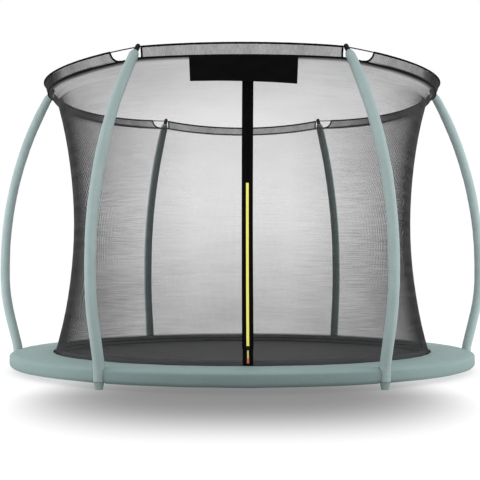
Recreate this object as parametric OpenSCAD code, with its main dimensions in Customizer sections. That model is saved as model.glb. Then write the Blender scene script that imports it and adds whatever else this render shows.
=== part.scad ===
// Round garden trampoline, low ring on six short feet, with an inner safety net
// carried by six outward-bowed, foam-sleeved poles. Millimetres, +Z up, origin on
// the ground at the centre of the jumping mat, front (the net's zipped door) at -Y.
// Azimuths are in degrees, counted from the front towards +X.

/* [Frame ring] */
// Radius of the ring tube's centre line
ring_r = 1495; // [1490:1:1498]
// Outer diameter of the ring tube
ring_od = 38; // [36:0.5:38]
// Height of the ring tube's centre line above the ground
ring_z = 74; // [72:1:76]
// Wall of every steel tube
tube_wall = 1.5; // [1.2:0.1:2]

/* [Poles] */
// Radius at which the poles stand on the ground
pole_base_r = 1552; // [1550:1:1556]
// Outer diameter of the pole tubes
pole_od = 25; // [25:0.5:26]
// Outward lean of the lower pole tube, in degrees
pole_lean = 14.5; // [13:0.5:15]
// Height of the straight socket in which the upper tube is held
socket_z = 647; // [640:1:660]
// Height of the joint between lower and upper tube
joint_z = 712; // [705:1:725]
// Radius of the upper tube's inward bend
upper_bend_r = 2440; // [2400:10:2480]
// Bend angle at which the rim rod crosses the pole
rod_bend = 29.5; // [29.2:0.05:29.8]
// Outer diameter of the foam sleeve
sleeve_od = 64; // [56:1:64]
// Angle by which the front poles' lower tubes lean more towards the front than outwards
front_lean_turn = 7; // [5:0.5:9]
// Angle by which the back poles' lower tubes lean more towards the back than outwards
back_lean_turn = 12; // [10:0.5:13]
// Angle by which the front poles' upper tubes bend more sidewards than inwards
front_turn = 14.5; // [13:0.5:16]
// Angle by which the back poles' upper tubes bend more sidewards than inwards
back_turn = 3; // [2:0.5:5]

/* [Pad] */
// Inner radius of the spring pad
pad_inner_r = 1278; // [1277:1:1280]
// Outer radius of the spring pad
pad_outer_r = 1560; // [1558:1:1562]
// Height of the pad's underside
pad_bottom_z = 96; // [96:0.5:98]
// Thickness of the pad
pad_t = 24; // [22:1:25]
// Height of the skirt's lower edge
skirt_z = 28; // [20:1:36]

/* [Mat and springs] */
// Number of springs, a multiple of six
spring_count = 60; // [48:12:60]
// Radius of the jumping mat's fabric
mat_r = 1290; // [1288:1:1291]
// Height of the mat's underside
mat_z = 83; // [82:0.5:84]
// Outer diameter of a spring's coils
spring_od = 22; // [18:1:23]

/* [Net] */
// Radius of the net at its waist
waist_r = 1154; // [1150:1:1158]
// Height of the net's waist
waist_z = 950; // [940:5:960]
// Radius of the net's hourglass profile
net_bend_r = 3150; // [3120:10:3200]
// Height of the net wall's lower edge
net_foot_z = 118; // [118:1:122]
// Height at which the wall passes into the flared top
flare_z = 1780; // [1780:5:1795]
// Radius of the rim rod midway between two poles, at the front and the back
rod_end_r = 1385; // [1380:1:1390]
// Radius of the rim rod midway between two poles, at the sides
rod_side_r = 1366; // [1350:1:1370]
// Sag of the rim rod midway between two poles
rod_sag = 24; // [5:1:30]
// Height of the net's top band, from the rod to the hem
band_h = 62; // [55:1:68]

/* [Door zip] */
// Azimuth of the zip
zip_azimuth = 1.5; // [0:0.5:3]
// Height of the zip slider's centre when the door is closed
slider_z = 213; // [210:1:225]
// Height of the zip chain's upper end
chain_top_z = 1145; // [1100:5:1160]
// Width of the black tape that carries the zip
tape_w = 64; // [56:1:68]
// Width of the yellow zip chain
chain_w = 15; // [12:1:18]

/* [Hidden] */
$fn = 48;
POLES = ["front_right", "right", "back_right", "back_left", "left", "front_left"];
SPANS = ["front", "right_front", "right_back", "back", "left_back", "left_front"];
pole_azimuth = [30, 90, 150, 210, 270, 330];
lean_turn = [-front_lean_turn, 0, back_lean_turn, -back_lean_turn, 0, front_lean_turn];
pole_turn = [front_turn, 0, -back_turn, back_turn, 0, -front_turn];
fit = 0.1;                   // radial clearance of tubes that slide together
gap = 0.3;                   // clearance between soft layers
tube_seam = 0.3;             // step in radius between a tube's straight and bent stretches
foam_seam = 0.8;             // the same on the foam sleeves
lap = 2;                     // length by which they lap

// Poles
pole_r = pole_od / 2;
bore_r = pole_r - tube_wall;
foot_h = 38;                 // height of the moulded foot
foot_floor = 8;              // thickness of its sole
bend_z = 90;                 // height at which the pole starts to lean outwards
base_bend_r = 250;           // radius of that bend
lean_len = 200;              // straight length after it
lean_start = [pole_base_r + base_bend_r * (1 - cos(pole_lean)), bend_z + base_bend_r * sin(pole_lean)];
lean_end = lean_start + lean_len * [sin(pole_lean), cos(pole_lean)];
lower_bend_r = (socket_z - lean_end[1]) / sin(pole_lean);
joint_r = lean_end[0] + lower_bend_r * (1 - cos(pole_lean));
tube_end_bend = rod_bend - 0.35;
sleeve_end_bend = rod_bend - 0.8;
taper_len = 85;              // length over which the sleeve narrows under the cap
taper_bend = sleeve_end_bend - taper_len / upper_bend_r * 180 / PI;
sleeve_r = sleeve_od / 2;
sleeve_neck_r = 28;           // 30 mm below the sleeve's upper end
sleeve_tip_r = 22;
spigot_len = joint_z - socket_z - 3;
cap_r = 14.5;

// Ring joints and their fasteners
joint_half_len = 58;         // half length of the sleeve that joins two ring tubes
joint_r_in = ring_od / 2 + fit;
joint_r_out = joint_r_in + 2.4;
bracket_w = 34;
bracket_z = [48, 95];
bolt_heights = [58, 86];
bolt_r = 4;

// Rim rods: the points where they cross the poles, and one arc per span
rod_r = 3.5;
reach = upper_bend_r * (1 - cos(rod_bend));
rod_z = joint_z + upper_bend_r * sin(rod_bend);
function turned(v, a) = [v[0] * cos(a) - v[1] * sin(a), v[0] * sin(a) + v[1] * cos(a)];
function crossing_beside(k) =
    [pole_base_r, 0] + (joint_r - pole_base_r) * [cos(lean_turn[k]), sin(lean_turn[k])]
    - reach * [cos(pole_turn[k]), sin(pole_turn[k])];
function crossing(k) = turned(crossing_beside(k), pole_azimuth[k] - 90);
// Azimuth of the crossing, counted from that of pole k
function cross_offset(k) = atan2(crossing_beside(k)[1], crossing_beside(k)[0]);
function span_start(s) = crossing((s + 5) % 6);
function span_end(s) = crossing(s);
function span_mid(s) = (span_start(s) + span_end(s)) / 2;
function span_half(s) = norm(span_end(s) - span_start(s)) / 2;
function span_dir(s) = let (v = span_end(s) - span_start(s)) atan2(v[1], v[0]);
function rod_mid_r(s) = s % 3 == 0 ? rod_end_r : rod_side_r;
function span_rise(s) = rod_mid_r(s) - norm(span_mid(s));
function span_sagitta(s) = norm([span_rise(s), rod_sag]);
function span_tilt(s) = atan2(rod_sag, span_rise(s));
function span_r(s) = (span_half(s) ^ 2 + span_sagitta(s) ^ 2) / (2 * span_sagitta(s));
function span_angle(s) = asin(span_half(s) / span_r(s));
function span_half_len(s) = span_r(s) * span_angle(s) * PI / 180;
// Each span's ends stop short of the poles' crossings by a cut-out: its width at the start and
// the end of every span, and that of its rounded lower corner, in degrees
cut_w = [[1.1, 1.1], [8, 4.35], [4.35, 4.9], [1.1, 1.1], [4.9, 4.35], [4.35, 8]];
cut_corner = [[0.3, 0.3], [2.8, 2.35], [2.35, 2.35], [0.3, 0.3], [2.35, 2.35], [2.35, 2.8]];
ferrule_len = 70;
end_gap = 1.5;               // between a rod's end and the middle of the cap
cross_past = 5;              // length by which the cap's holes for the rods cross

// A point of the rod's line in span s, for t from -1 to 1, as radius, azimuth angle and height
function rod_point(s, t) =
    let (a = span_angle(s) * t, r = span_r(s), out = r * cos(a) - r + span_sagitta(s),
         p = span_mid(s) + turned([r * sin(a), -out * cos(span_tilt(s))], span_dir(s)))
    [norm(p), atan2(p[1], p[0]), rod_z - out * sin(span_tilt(s))];
// The place t in span s that lies an angle inside its start (side 0) or its end (side 1)
function place_inside(s, side, angle) =
    let (share = 2 * angle / (60 + cross_offset(s) - cross_offset((s + 5) % 6)))
    side == 0 ? share - 1 : 1 - share;
function tunnel_end(s, side) = place_inside(s, side, cut_w[s][side]);
// The hem below it
hem_in = [14, 28];           // how far the hem lies inside the rod, at the poles and at mid-span
function hem_point(s, t) =
    let (p = rod_point(s, t)) [p[0] - hem_in[0] - (hem_in[1] - hem_in[0]) * (1 - t * t), p[1], p[2] - band_h];
function polar(p) = [p[0] * cos(p[1]), p[0] * sin(p[1]), p[2]];

// Net
net_t = 1.6;
net_axis_r = waist_r + net_bend_r;
function net_radius(z) = net_axis_r - sqrt(net_bend_r ^ 2 - (z - waist_z) ^ 2);
function net_slope(z) = asin((z - waist_z) / net_bend_r);
wall_steps = 18;
span_steps = 12;
hem_h = 12;

// Mat, springs and their rings
webbing_r = [1250, 1296];
mat_t = 2.5;
webbing_t = 2;
spring_z = 85;
wire_r = 1.75;
hook_r = 8;
hook_frame_r = 1477;         // centre of the hook that goes into the ring tube
hook_hole_r = 4;             // radius of its hole
hook_hole_in = 0.8;          // the hole's middle lies this far inside the hook's tail, under its bend
hook_mat_r = 1339;           // centre of the hook that holds the mat's ring
coil_r = [1358, 1462];       // where a spring's coils start and end
spring_step = 360 / spring_count;
ring_bar = 4;

// Door zip
tape_x = gap;                // distances of the layers from the net
chain_x = tape_x + 1.2 + 0.1;
slider_x = chain_x + 2 + gap;
chain_foot_z = 204;
tape_foot_z = 121;
tape_top_z = 1712;
slider_h = 27;
slider_w = 24;
pin_drop = 14;               // the pull's pin below the slider's centre
pin_out = 4.2;               // the pin's distance in front of the slider's face
pin_r = 1.5;
pull_len = 71;

steel = "#b9bcbd";
sage = "#9fb1ae";
net_black = "#2b2b2d";

// Places its children at an azimuth, with +X pointing outwards
module around(azimuth) rotate([0, 0, azimuth - 90]) children();

module at_pole(k) around(pole_azimuth[k]) children();

// The plane in which the lower tube of pole k leans
module at_lean(k) at_pole(k) translate([pole_base_r, 0, 0]) rotate([0, 0, lean_turn[k]])
    translate([-pole_base_r, 0, 0]) children();

// The plane in which the upper tube of pole k bends, from its joint
module at_upper(k) at_lean(k) translate([joint_r, 0, joint_z]) rotate([0, 0, pole_turn[k] - lean_turn[k]])
    children();

// A round bar of radius r bent by an angle in the X-Z plane, from the origin upwards and
// towards -X
module bent_bar(r, bend_r, angle) {
    translate([-bend_r, 0, 0]) rotate([90, 0, 0]) rotate_extrude(angle = angle, $fn = 96)
        translate([bend_r, 0]) circle(r, $fn = 40);
}

// ---- Poles -------------------------------------------------------------------

// The lower pole's line as a round bar, from height z0 to height z1. Its straight stretches
// lap over the bends, which are thinner by step.
module lower_bar(r, z0, z1, step) {
    translate([pole_base_r, 0, z0]) cylinder(h = bend_z + lap - z0, r = r);
    translate([pole_base_r, 0, bend_z]) mirror([1, 0, 0]) bent_bar(r - step, base_bend_r, pole_lean);
    translate([lean_start[0], 0, lean_start[1]]) rotate([0, pole_lean, 0]) translate([0, 0, -lap])
        cylinder(h = lean_len + 2 * lap, r = r);
    translate([joint_r, 0, socket_z]) mirror([0, 0, 1]) bent_bar(r - step, lower_bend_r, pole_lean);
    translate([joint_r, 0, socket_z - lap]) cylinder(h = z1 - socket_z + lap, r = r);
}

// A radial hole or shaft through a pole's tube at height z, from x0 to x1
module radial_bar(r, x0, x1, z) translate([x0, 0, z]) rotate([0, 90, 0]) cylinder(h = x1 - x0, r = r);

module bolt_shafts(r) for (z = bolt_heights) radial_bar(r, pole_base_r - 28, pole_base_r + pole_r + 3, z);

module screw_hole(r) radial_bar(r, joint_r + 4, joint_r + pole_r + 3, joint_z - 30);

module pole_lower(k) {
    color(steel) difference() {
        at_lean(k) lower_bar(pole_r, foot_floor, joint_z, tube_seam);
        at_lean(k) lower_bar(bore_r, foot_floor - 1, joint_z + 1, tube_seam);
        at_pole(k) bolt_shafts(bolt_r + 0.2);
        at_lean(k) screw_hole(2.6);
    }
}

// The upper tube, with a reduced spigot that stands in the lower tube
module pole_upper(k) {
    color(steel) difference() {
        at_upper(k) union() {
            bent_bar(pole_r, upper_bend_r, tube_end_bend);
            translate([0, 0, -spigot_len]) cylinder(h = spigot_len, r = bore_r - fit);
        }
        at_upper(k) union() {
            bent_bar(bore_r - 1.6, upper_bend_r, tube_end_bend + 0.05);
            translate([0, 0, -spigot_len - 1]) cylinder(h = spigot_len + 1, r = bore_r - 1.6);
        }
        at_lean(k) screw_hole(2.5);
    }
}

// Where the sleeve starts to narrow, along the upper bend
module at_bend(angle) {
    translate([-upper_bend_r * (1 - cos(angle)), 0, upper_bend_r * sin(angle)])
        rotate([0, -angle, 0]) children();
}

// Foam tube with its fabric cover, open at the ring's bracket and over the bolts
module pole_sleeve(k) {
    color(sage) difference() {
        union() {
            at_lean(k) lower_bar(sleeve_r, foot_h + 0.5, joint_z + lap, foam_seam);
            at_upper(k) bent_bar(sleeve_r - foam_seam, upper_bend_r, taper_bend);
            at_upper(k) at_bend(taper_bend) rotate_extrude()
                polygon([[0, -lap], [sleeve_r, -lap], [sleeve_r, 0], [sleeve_neck_r, taper_len - 30],
                         [sleeve_tip_r, taper_len], [0, taper_len]]);
        }
        at_lean(k) lower_bar(pole_r + 0.6, foot_h - 1, joint_z + lap, tube_seam);
        at_upper(k) bent_bar(pole_r + 0.6 - tube_seam, upper_bend_r, sleeve_end_bend + 0.3);
        at_pole(k) translate([pole_base_r - sleeve_r - 5, -bracket_w / 2 - 1, bracket_z[0] - 1])
            cube([sleeve_r + 5, bracket_w + 2, bracket_z[1] - bracket_z[0] + 2]);
        at_pole(k) for (z = bolt_heights) radial_bar(8.5, pole_base_r, pole_base_r + pole_r + 7.5, z);
        at_lean(k) radial_bar(6, joint_r, joint_r + pole_r + 4, joint_z - 30);
    }
}

// Domed plastic cap on the pole's end, drilled for the rim rods
module pole_cap(k) {
    cap_low = -26;
    color("#15191a") difference() {
        at_upper(k) at_bend(rod_bend) union() {
            translate([0, 0, cap_low]) cylinder(h = -cap_low + 6, r = cap_r);
            translate([0, 0, 6]) intersection() {
                sphere(cap_r);
                cylinder(h = cap_r, r = cap_r + 1);
            }
        }
        at_upper(k) bent_bar(pole_r + fit, upper_bend_r, tube_end_bend + 0.02);
        rod_arc(k, rod_r + 0.2, 0.9, 1 + cross_past / span_half_len(k));
        rod_arc((k + 1) % 6, rod_r + 0.2, -1 - cross_past / span_half_len((k + 1) % 6), -0.9);
    }
}

// Moulded feet, tapered to the ground, with a socket for the pole tube
module pole_feet() {
    color(sage) for (k = [0:5]) at_pole(k) translate([pole_base_r, 0, 0]) difference() {
        cylinder(h = foot_h, r1 = 21, r2 = 28.5);
        translate([0, 0, foot_floor]) cylinder(h = foot_h, r = pole_r + fit);
    }
}

module bracket_bolts() {
    color(steel) for (k = [0:5], z = bolt_heights) at_pole(k) {
        radial_bar(bolt_r, pole_base_r - 27, pole_base_r + pole_r + 0.4, z);
        translate([pole_base_r + pole_r + 0.4, 0, z]) rotate([0, 90, 0]) cylinder(h = 5.5, r = 7.5, $fn = 6);
    }
}

module pole_screws() {
    color(steel) for (k = [0:5]) at_lean(k) {
        radial_bar(2.4, joint_r + 5, joint_r + pole_r + 0.3, joint_z - 30);
        radial_bar(4.6, joint_r + pole_r + 0.3, joint_r + pole_r + 2.8, joint_z - 30);
    }
}

// ---- Frame ring --------------------------------------------------------------

// One sixth of the ring, with a hole in its top for each spring's hook
module ring_tube(s) {
    arc = 59.96;
    color(steel) around(s * 60) difference() {
        rotate([0, 0, -arc / 2]) rotate_extrude(angle = arc, $fn = 360) translate([ring_r, ring_z]) difference() {
            circle(ring_od / 2, $fn = 48);
            circle(ring_od / 2 - tube_wall, $fn = 48);
        }
        for (a = [-30 + spring_step / 2 : spring_step : 30]) rotate([0, 0, a])
            translate([hook_frame_r + hook_r - hook_hole_in, 0, ring_z + 4])
                cylinder(h = ring_od / 2, r = hook_hole_r);
    }
}

// Sleeve over two ring tubes' ends, with a saddle block that the pole is bolted to
module ring_joint(k) {
    half = asin(joint_half_len / ring_r);
    color(steel) at_pole(k) difference() {
        union() {
            rotate([0, 0, -half]) rotate_extrude(angle = 2 * half, $fn = 360) translate([ring_r, ring_z])
                circle(joint_r_out, $fn = 48);
            translate([ring_r + 8, -bracket_w / 2, bracket_z[0]])
                cube([pole_base_r - 6 - ring_r - 8, bracket_w, bracket_z[1] - bracket_z[0]]);
        }
        rotate([0, 0, -half - 1]) rotate_extrude(angle = 2 * half + 2, $fn = 360) translate([ring_r, ring_z])
            circle(joint_r_in, $fn = 48);
        translate([pole_base_r, 0, 0]) cylinder(h = 150, r = pole_r + fit);
        bolt_shafts(bolt_r + 0.05);
    }
}

// ---- Mat and springs ---------------------------------------------------------

// A hook of bent wire that rises from the spring's axis, goes over and down to height z_end
module wire_hook(r_mid, side, z_end) {
    overrun = 12;            // angle by which the hook's bend runs into the spring's end
    tail_lap = 0.5;          // the straight tail laps over the bend
    tail_step = 0.04;
    translate([r_mid, 0, spring_z]) rotate([90, 0, 0]) rotate([0, 0, side > 0 ? 0 : -overrun])
        rotate_extrude(angle = 180 + overrun, $fn = 48) translate([hook_r, 0]) circle(wire_r, $fn = 16);
    translate([r_mid + side * hook_r, 0, z_end])
        cylinder(h = spring_z + tail_lap - z_end, r = wire_r + tail_step, $fn = 16);
}

// Tension spring as its outer shape, with the bent hooks of its wire
module spring() {
    cone = 9;
    r = spring_od / 2;
    start = hook_mat_r + hook_r;
    along = [0, coil_r[0] - start, coil_r[1] - start, hook_frame_r - hook_r - start];
    translate([start, 0, spring_z]) rotate([0, 90, 0]) rotate_extrude($fn = 24)
        polygon([[0, along[0]], [wire_r, along[0]], [wire_r, along[1]], [r, along[1] + cone],
                 [r, along[2] - cone], [wire_r, along[2]], [wire_r, along[3]], [0, along[3]]]);
    wire_hook(hook_frame_r, 1, ring_z + 4);
    wire_hook(hook_mat_r, -1, mat_z - 4);
}

module springs() {
    color("silver") for (i = [0:spring_count - 1]) around((i + 0.5) * spring_step) spring();
}

// Flat wire rings that the springs pull on, wide at the mat and narrow at the spring
module spring_rings() {
    wide = 20;
    narrow = 9;
    ring_in = 1302;
    ring_out = hook_mat_r + 2;
    color(steel) for (i = [0:spring_count - 1]) around((i + 0.5) * spring_step)
        translate([0, 0, spring_z - ring_bar / 2 - 0.5]) linear_extrude(ring_bar) difference() {
            polygon([[ring_in, -wide], [ring_in, wide], [ring_out, narrow], [ring_out, -narrow]]);
            polygon([[ring_in + ring_bar, -wide + 5], [ring_in + ring_bar, wide - 5],
                     [ring_out - ring_bar, narrow - 3.4], [ring_out - ring_bar, -narrow + 3.4]]);
        }
}

module jumping_mat() {
    color("#2f3032") translate([0, 0, mat_z]) cylinder(h = mat_t, r = mat_r, $fn = 180);
}

// Doubled webbing round the mat's edge, with a folded loop for each ring
module mat_webbing() {
    low = mat_z - webbing_t;
    high = mat_z + mat_t + webbing_t;
    loop_w = 26;
    loop_out = 1309.4;
    color("#1d1d1f") {
        rotate_extrude($fn = 180) polygon([
            [webbing_r[0], low], [webbing_r[1], low], [webbing_r[1], high], [webbing_r[0], high],
            [webbing_r[0], mat_z + mat_t], [mat_r + gap, mat_z + mat_t],
            [mat_r + gap, mat_z], [webbing_r[0], mat_z]]);
        for (i = [0:spring_count - 1]) around((i + 0.5) * spring_step)
            translate([webbing_r[1] - 1, loop_w / 2, 0]) rotate([90, 0, 0]) linear_extrude(loop_w) difference() {
                translate([0, low]) square([loop_out - webbing_r[1] + 1, high - low]);
                translate([6.4, spring_z - 2.9]) square([5.2, 4.8]);
            }
    }
}

// ---- Pad ---------------------------------------------------------------------

inner_edge_r = 7;            // rounding of the pad's inner edge
outer_edge = [55, 21];        // half axes of its outer edge's rounding
hem_r = 26;                  // inward curl of the skirt's elastic hem
hem_turn = 60;               // and its angle
pad_top_z = pad_bottom_z + pad_t;
pad_crown = 3;
notch_r = sleeve_r + 2.5;

// Points of an arc about c with half axes r, from angle a0 to a1
function arc_points(c, r, a0, a1, n = 4) =
    [for (i = [0:n]) let (a = a0 + (a1 - a0) * i / n) c + [r[0] * cos(a), r[1] * sin(a)]];

// Cross-section of the pad, shrunk by s, down to the height of its outer lower corner
function pad_section(s, corner_z) = concat(
    [[pad_inner_r + s, pad_bottom_z + s]],
    arc_points([pad_inner_r + inner_edge_r, pad_top_z - inner_edge_r], [1, 1] * (inner_edge_r - s), 180, 90),
    [[(pad_inner_r + pad_outer_r) / 2, pad_top_z + pad_crown - s]],
    arc_points([pad_outer_r, pad_top_z] - outer_edge, outer_edge - [s, s], 90, 0, 6),
    [[pad_outer_r - s, corner_z]]);

module pole_notches(r) {
    for (k = [0:5]) at_pole(k) translate([pole_base_r, 0, 0]) cylinder(h = 200, r = r);
}

// Closed cover with the skirt that hangs from its outer edge, notched round the poles
module pad_cover() {
    cover_t = 1.4;
    skirt_t = 2.5;
    hem = [pad_outer_r - hem_r, skirt_z + hem_r * sin(hem_turn)];
    color(sage) difference() {
        rotate_extrude($fn = 360) polygon(concat(
            pad_section(0, hem[1] + 1), arc_points(hem, [hem_r, hem_r], 0, -hem_turn),
            arc_points(hem, [1, 1] * (hem_r - skirt_t), -hem_turn, 0), [[pad_outer_r - skirt_t, pad_bottom_z]]));
        difference() {
            rotate_extrude($fn = 360) polygon(pad_section(cover_t, pad_bottom_z + cover_t));
            pole_notches(notch_r + cover_t);
        }
        pole_notches(notch_r);
    }
}

// Six foam sections inside the cover
module pad_foam() {
    color("#e6e2d6") for (s = [0:5]) around(s * 60) difference() {
        rotate([0, 0, -29.9]) rotate_extrude(angle = 59.8, $fn = 360) polygon(pad_section(1.8, pad_bottom_z + 1.8));
        for (a = [-30, 30]) rotate([0, 0, a]) translate([pole_base_r, 0, 0]) cylinder(h = 200, r = notch_r + 1.8);
    }
}

// Elastic loops that tie the pad to the ring
module pad_straps() {
    strap_w = 14;
    color("#2a2a2c") for (k = [0:5], side = [-1, 1]) around(k * 60 + side * 12)
        translate([ring_r, strap_w / 2, ring_z]) rotate([90, 0, 0]) linear_extrude(strap_w) difference() {
            union() {
                circle(ring_od / 2 + 1.8, $fn = 48);
                translate([-3, 0]) square([6, pad_bottom_z - ring_z - 0.1]);
            }
            circle(ring_od / 2 + 0.2, $fn = 48);
        }
}

// ---- Rim and net -------------------------------------------------------------

// The rod's arc in span s as a round bar, from place t0 to place t1
module rod_arc(s, r, t0, t1) {
    a = span_angle(s);
    translate([span_mid(s)[0], span_mid(s)[1], rod_z]) rotate([0, 0, span_dir(s)]) rotate([span_tilt(s), 0, 0])
        translate([0, span_r(s) - span_sagitta(s), 0]) rotate([0, 0, -90 + a * t0])
            rotate_extrude(angle = a * (t1 - t0), $fn = 360) translate([span_r(s), 0]) circle(r, $fn = 24);
}

module rim_rods() {
    color("#1b1f20") for (s = [0:5]) let (t = 1 - end_gap / span_half_len(s)) rod_arc(s, rod_r, -t, t);
}

// Short tubes round the rods at mid-span, where two lengths of rod meet
module rod_ferrules() {
    color(steel) for (s = [0:5]) let (t = ferrule_len / 2 / span_half_len(s)) difference() {
        rod_arc(s, rod_r + 1.1, -t, t);
        rod_arc(s, rod_r + 0.1, -1, 1);
    }
}

// Fabric tunnel at the top of the net, through which the rods run
module rod_tunnel() {
    color(net_black) for (s = [0:5]) difference() {
        rod_arc(s, rod_r + 2.3, tunnel_end(s, 0), tunnel_end(s, 1));
        rod_arc(s, rod_r + 1.4, -1, 1);
    }
}

// Closed thin sheet over a grid of points: rows[j][i], offset outwards by t along the radius
module sheet(rows, t) {
    n = len(rows[0]);
    m = len(rows);
    inner = [for (row = rows) for (p = row) polar(p)];
    outer = [for (row = rows) for (p = row) polar([p[0] + t, p[1], p[2]])];
    o = n * m;
    polyhedron(concat(inner, outer), concat(
        [for (j = [0:m - 2], i = [0:n - 2]) each [
            [j * n + i, j * n + i + 1, (j + 1) * n + i + 1], [j * n + i, (j + 1) * n + i + 1, (j + 1) * n + i],
            [o + j * n + i, o + (j + 1) * n + i + 1, o + j * n + i + 1],
            [o + j * n + i, o + (j + 1) * n + i, o + (j + 1) * n + i + 1]]],
        [for (j = [0:m - 2]) each [
            [j * n, (j + 1) * n, o + (j + 1) * n], [j * n, o + (j + 1) * n, o + j * n],
            [j * n + n - 1, o + (j + 1) * n + n - 1, (j + 1) * n + n - 1],
            [j * n + n - 1, o + j * n + n - 1, o + (j + 1) * n + n - 1]]],
        [for (i = [0:n - 2]) each [
            [i, o + i + 1, i + 1], [i, o + i, o + i + 1],
            [(m - 1) * n + i, (m - 1) * n + i + 1, o + (m - 1) * n + i + 1],
            [(m - 1) * n + i, o + (m - 1) * n + i + 1, o + (m - 1) * n + i]]]));
}

// End of the band in span s at height v, from hem (0) to rod (1): each pole stands in a
// cut-out with rounded lower corners
function band_end(s, side, v) =
    place_inside(s, side, cut_w[s][side] - cut_corner[s][side] * (1 - sqrt(1 - (1 - v) ^ 2)));

// The net's top band, sewn between the hem and the rods' tunnel
module net_band() {
    levels = [0, 0.12, 0.35, 0.65, 1];
    edges = [0.105, 0.89];    // the band's lower and upper edges, as parts of the height from hem to rod
    color(net_black) for (s = [0:5]) sheet([for (v = levels)
        let (t0 = band_end(s, 0, v), t1 = band_end(s, 1, v), w = edges[0] + (edges[1] - edges[0]) * v)
        [for (i = [0:span_steps]) let (t = t0 + (t1 - t0) * i / span_steps,
                                       hem = hem_point(s, t), rod = rod_point(s, t))
            [hem[0] + (rod[0] - hem[0]) * w, hem[1], hem[2] + (rod[2] - hem[2]) * w]]], net_t);
}

// Webbing sewn along the lower edge of the band, all the way round
module net_hem() {
    color("#0e0e10") for (s = [0:5]) sheet([for (z = [-hem_h / 2, hem_h / 2])
        [for (i = [0:span_steps]) let (p = hem_point(s, 0.9995 * (2 * i / span_steps - 1)))
            [p[0] + 2, p[1], p[2] + z]]], 2.2);
}

// Net between the straight wall and the hem
module net_flare() {
    color(net_black) for (s = [0:5]) sheet([for (v = [0, 0.5, 1])
        [for (i = [0:span_steps]) let (p = hem_point(s, 0.9995 * (2 * i / span_steps - 1)), foot = flare_z + 1,
                                       w = v * v * 0.35 + v * 0.65)
            [net_radius(foot) - net_t + (p[0] - net_radius(foot)) * w, p[1], foot + (p[2] - foot) * v]]], net_t);
}

// The net's wall, drawn in to a waist
module net_wall() {
    heights = [for (i = [0:wall_steps]) net_foot_z + (flare_z - net_foot_z) * i / wall_steps];
    color(net_black) rotate_extrude($fn = 180) polygon(concat(
        [for (z = heights) [net_radius(z), z]],
        [for (i = [wall_steps:-1:0]) [net_radius(heights[i]) - net_t, heights[i]]]));
}

// Tape that holds the net's foot to the mat's edge
module net_foot_tape() {
    tape_out = net_radius(net_foot_z) - 0.2;
    color("#111113") rotate_extrude($fn = 180)
        translate([tape_out - 2, mat_z + mat_t + webbing_t])
            square([2, net_foot_z - 0.5 - mat_z - mat_t - webbing_t]);
}

// Plain banner that hangs from the hem over the door
module banner() {
    half = 12.6;
    top = [rod_end_r - hem_in[1] + 6, rod_z - rod_sag - band_h - 8];
    low = [1333, 1686];
    color("#0b0b0d") around(0.3) rotate([0, 0, -half]) rotate_extrude(angle = 2 * half, $fn = 180)
        polygon([low, top, top + [1.8, 0], low + [1.8, 0]]);
}

// ---- Door zip ----------------------------------------------------------------

// The zip's own frame: origin on the net at height z, +X away from the net, +Z along it
module on_zip(z) around(zip_azimuth) translate([net_axis_r, 0, waist_z]) rotate([0, net_slope(z), 0])
    translate([-net_bend_r, 0, 0]) children();

// A strip of width w between heights z0 and z1, from x0 to x1 in front of the net
module zip_strip(z0, z1, x0, x1, w) {
    around(zip_azimuth) translate([net_axis_r, -w / 2, waist_z]) rotate([-90, 0, 0])
        rotate([0, 0, 180 - net_slope(z1)]) rotate_extrude(angle = net_slope(z1) - net_slope(z0), $fn = 720)
            translate([net_bend_r - x1, 0]) square([x1 - x0, w]);
}

module zip_tape() {
    narrower = 3;            // narrower on each side below the slider
    color("#141416") difference() {
        zip_strip(tape_foot_z, tape_top_z, tape_x, tape_x + 1.2, tape_w);
        for (side = [-1, 1]) around(zip_azimuth)
            translate([net_radius(tape_foot_z) - 50, side > 0 ? tape_w / 2 - narrower : -tape_w / 2 - narrower, 0])
                cube([100, 2 * narrower, slider_z]);
    }
}

module zip_chain() {
    color("#f4e66e") zip_strip(chain_foot_z, chain_top_z, chain_x, chain_x + 2, chain_w);
}

// Slider that straddles the chain, with two lugs and a pin for the pull
module zip_slider() {
    wall = 2.2;
    color("#101012") on_zip(slider_z) {
        translate([slider_x, 0, 0]) rotate([90, 0, 90]) linear_extrude(3)
            polygon([[-slider_w / 2, slider_h / 2], [-slider_w / 2, -2], [-slider_w / 2 + 2.5, -slider_h / 2],
                     [slider_w / 2 - 2.5, -slider_h / 2], [slider_w / 2, -2], [slider_w / 2, slider_h / 2]]);
        for (side = [-1, 1]) translate([chain_x + gap, side > 0 ? slider_w / 2 - wall : -slider_w / 2, -2])
            cube([slider_x - chain_x, wall, slider_h / 2 + 2]);
        for (side = [-1, 1]) translate([slider_x + 2, side > 0 ? 5.4 : -7.4, -pin_drop - 2.5])
            cube([pin_out + 0.8, 2, 8]);
        translate([slider_x + 3 + pin_out - 1.6, -6, -pin_drop]) rotate([-90, 0, 0])
            cylinder(h = 12, r = pin_r, $fn = 32);
    }
}

// Pull strap that hangs on the pin, with a moulded tip
module zip_pull() {
    pull_w = 9.6;
    tip_len = 30;
    on_zip(slider_z) translate([slider_x + 3 + pin_out - 1.6, 0, -pin_drop]) {
        color("#d9cf6a") difference() {
            union() {
                translate([0, pull_w / 2, 0]) rotate([90, 0, 0]) cylinder(h = pull_w, r = 2.5, $fn = 32);
                translate([-0.8, -pull_w / 2, -pull_len + tip_len]) cube([1.6, pull_w, pull_len - tip_len - 1.5]);
            }
            translate([0, pull_w / 2 + 1, 0]) rotate([90, 0, 0]) cylinder(h = pull_w + 2, r = pin_r + 0.07, $fn = 32);
        }
        color("#a8603c") translate([-1.6, -6.5, -pull_len]) cube([3.2, 13, tip_len]);
    }
}

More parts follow.
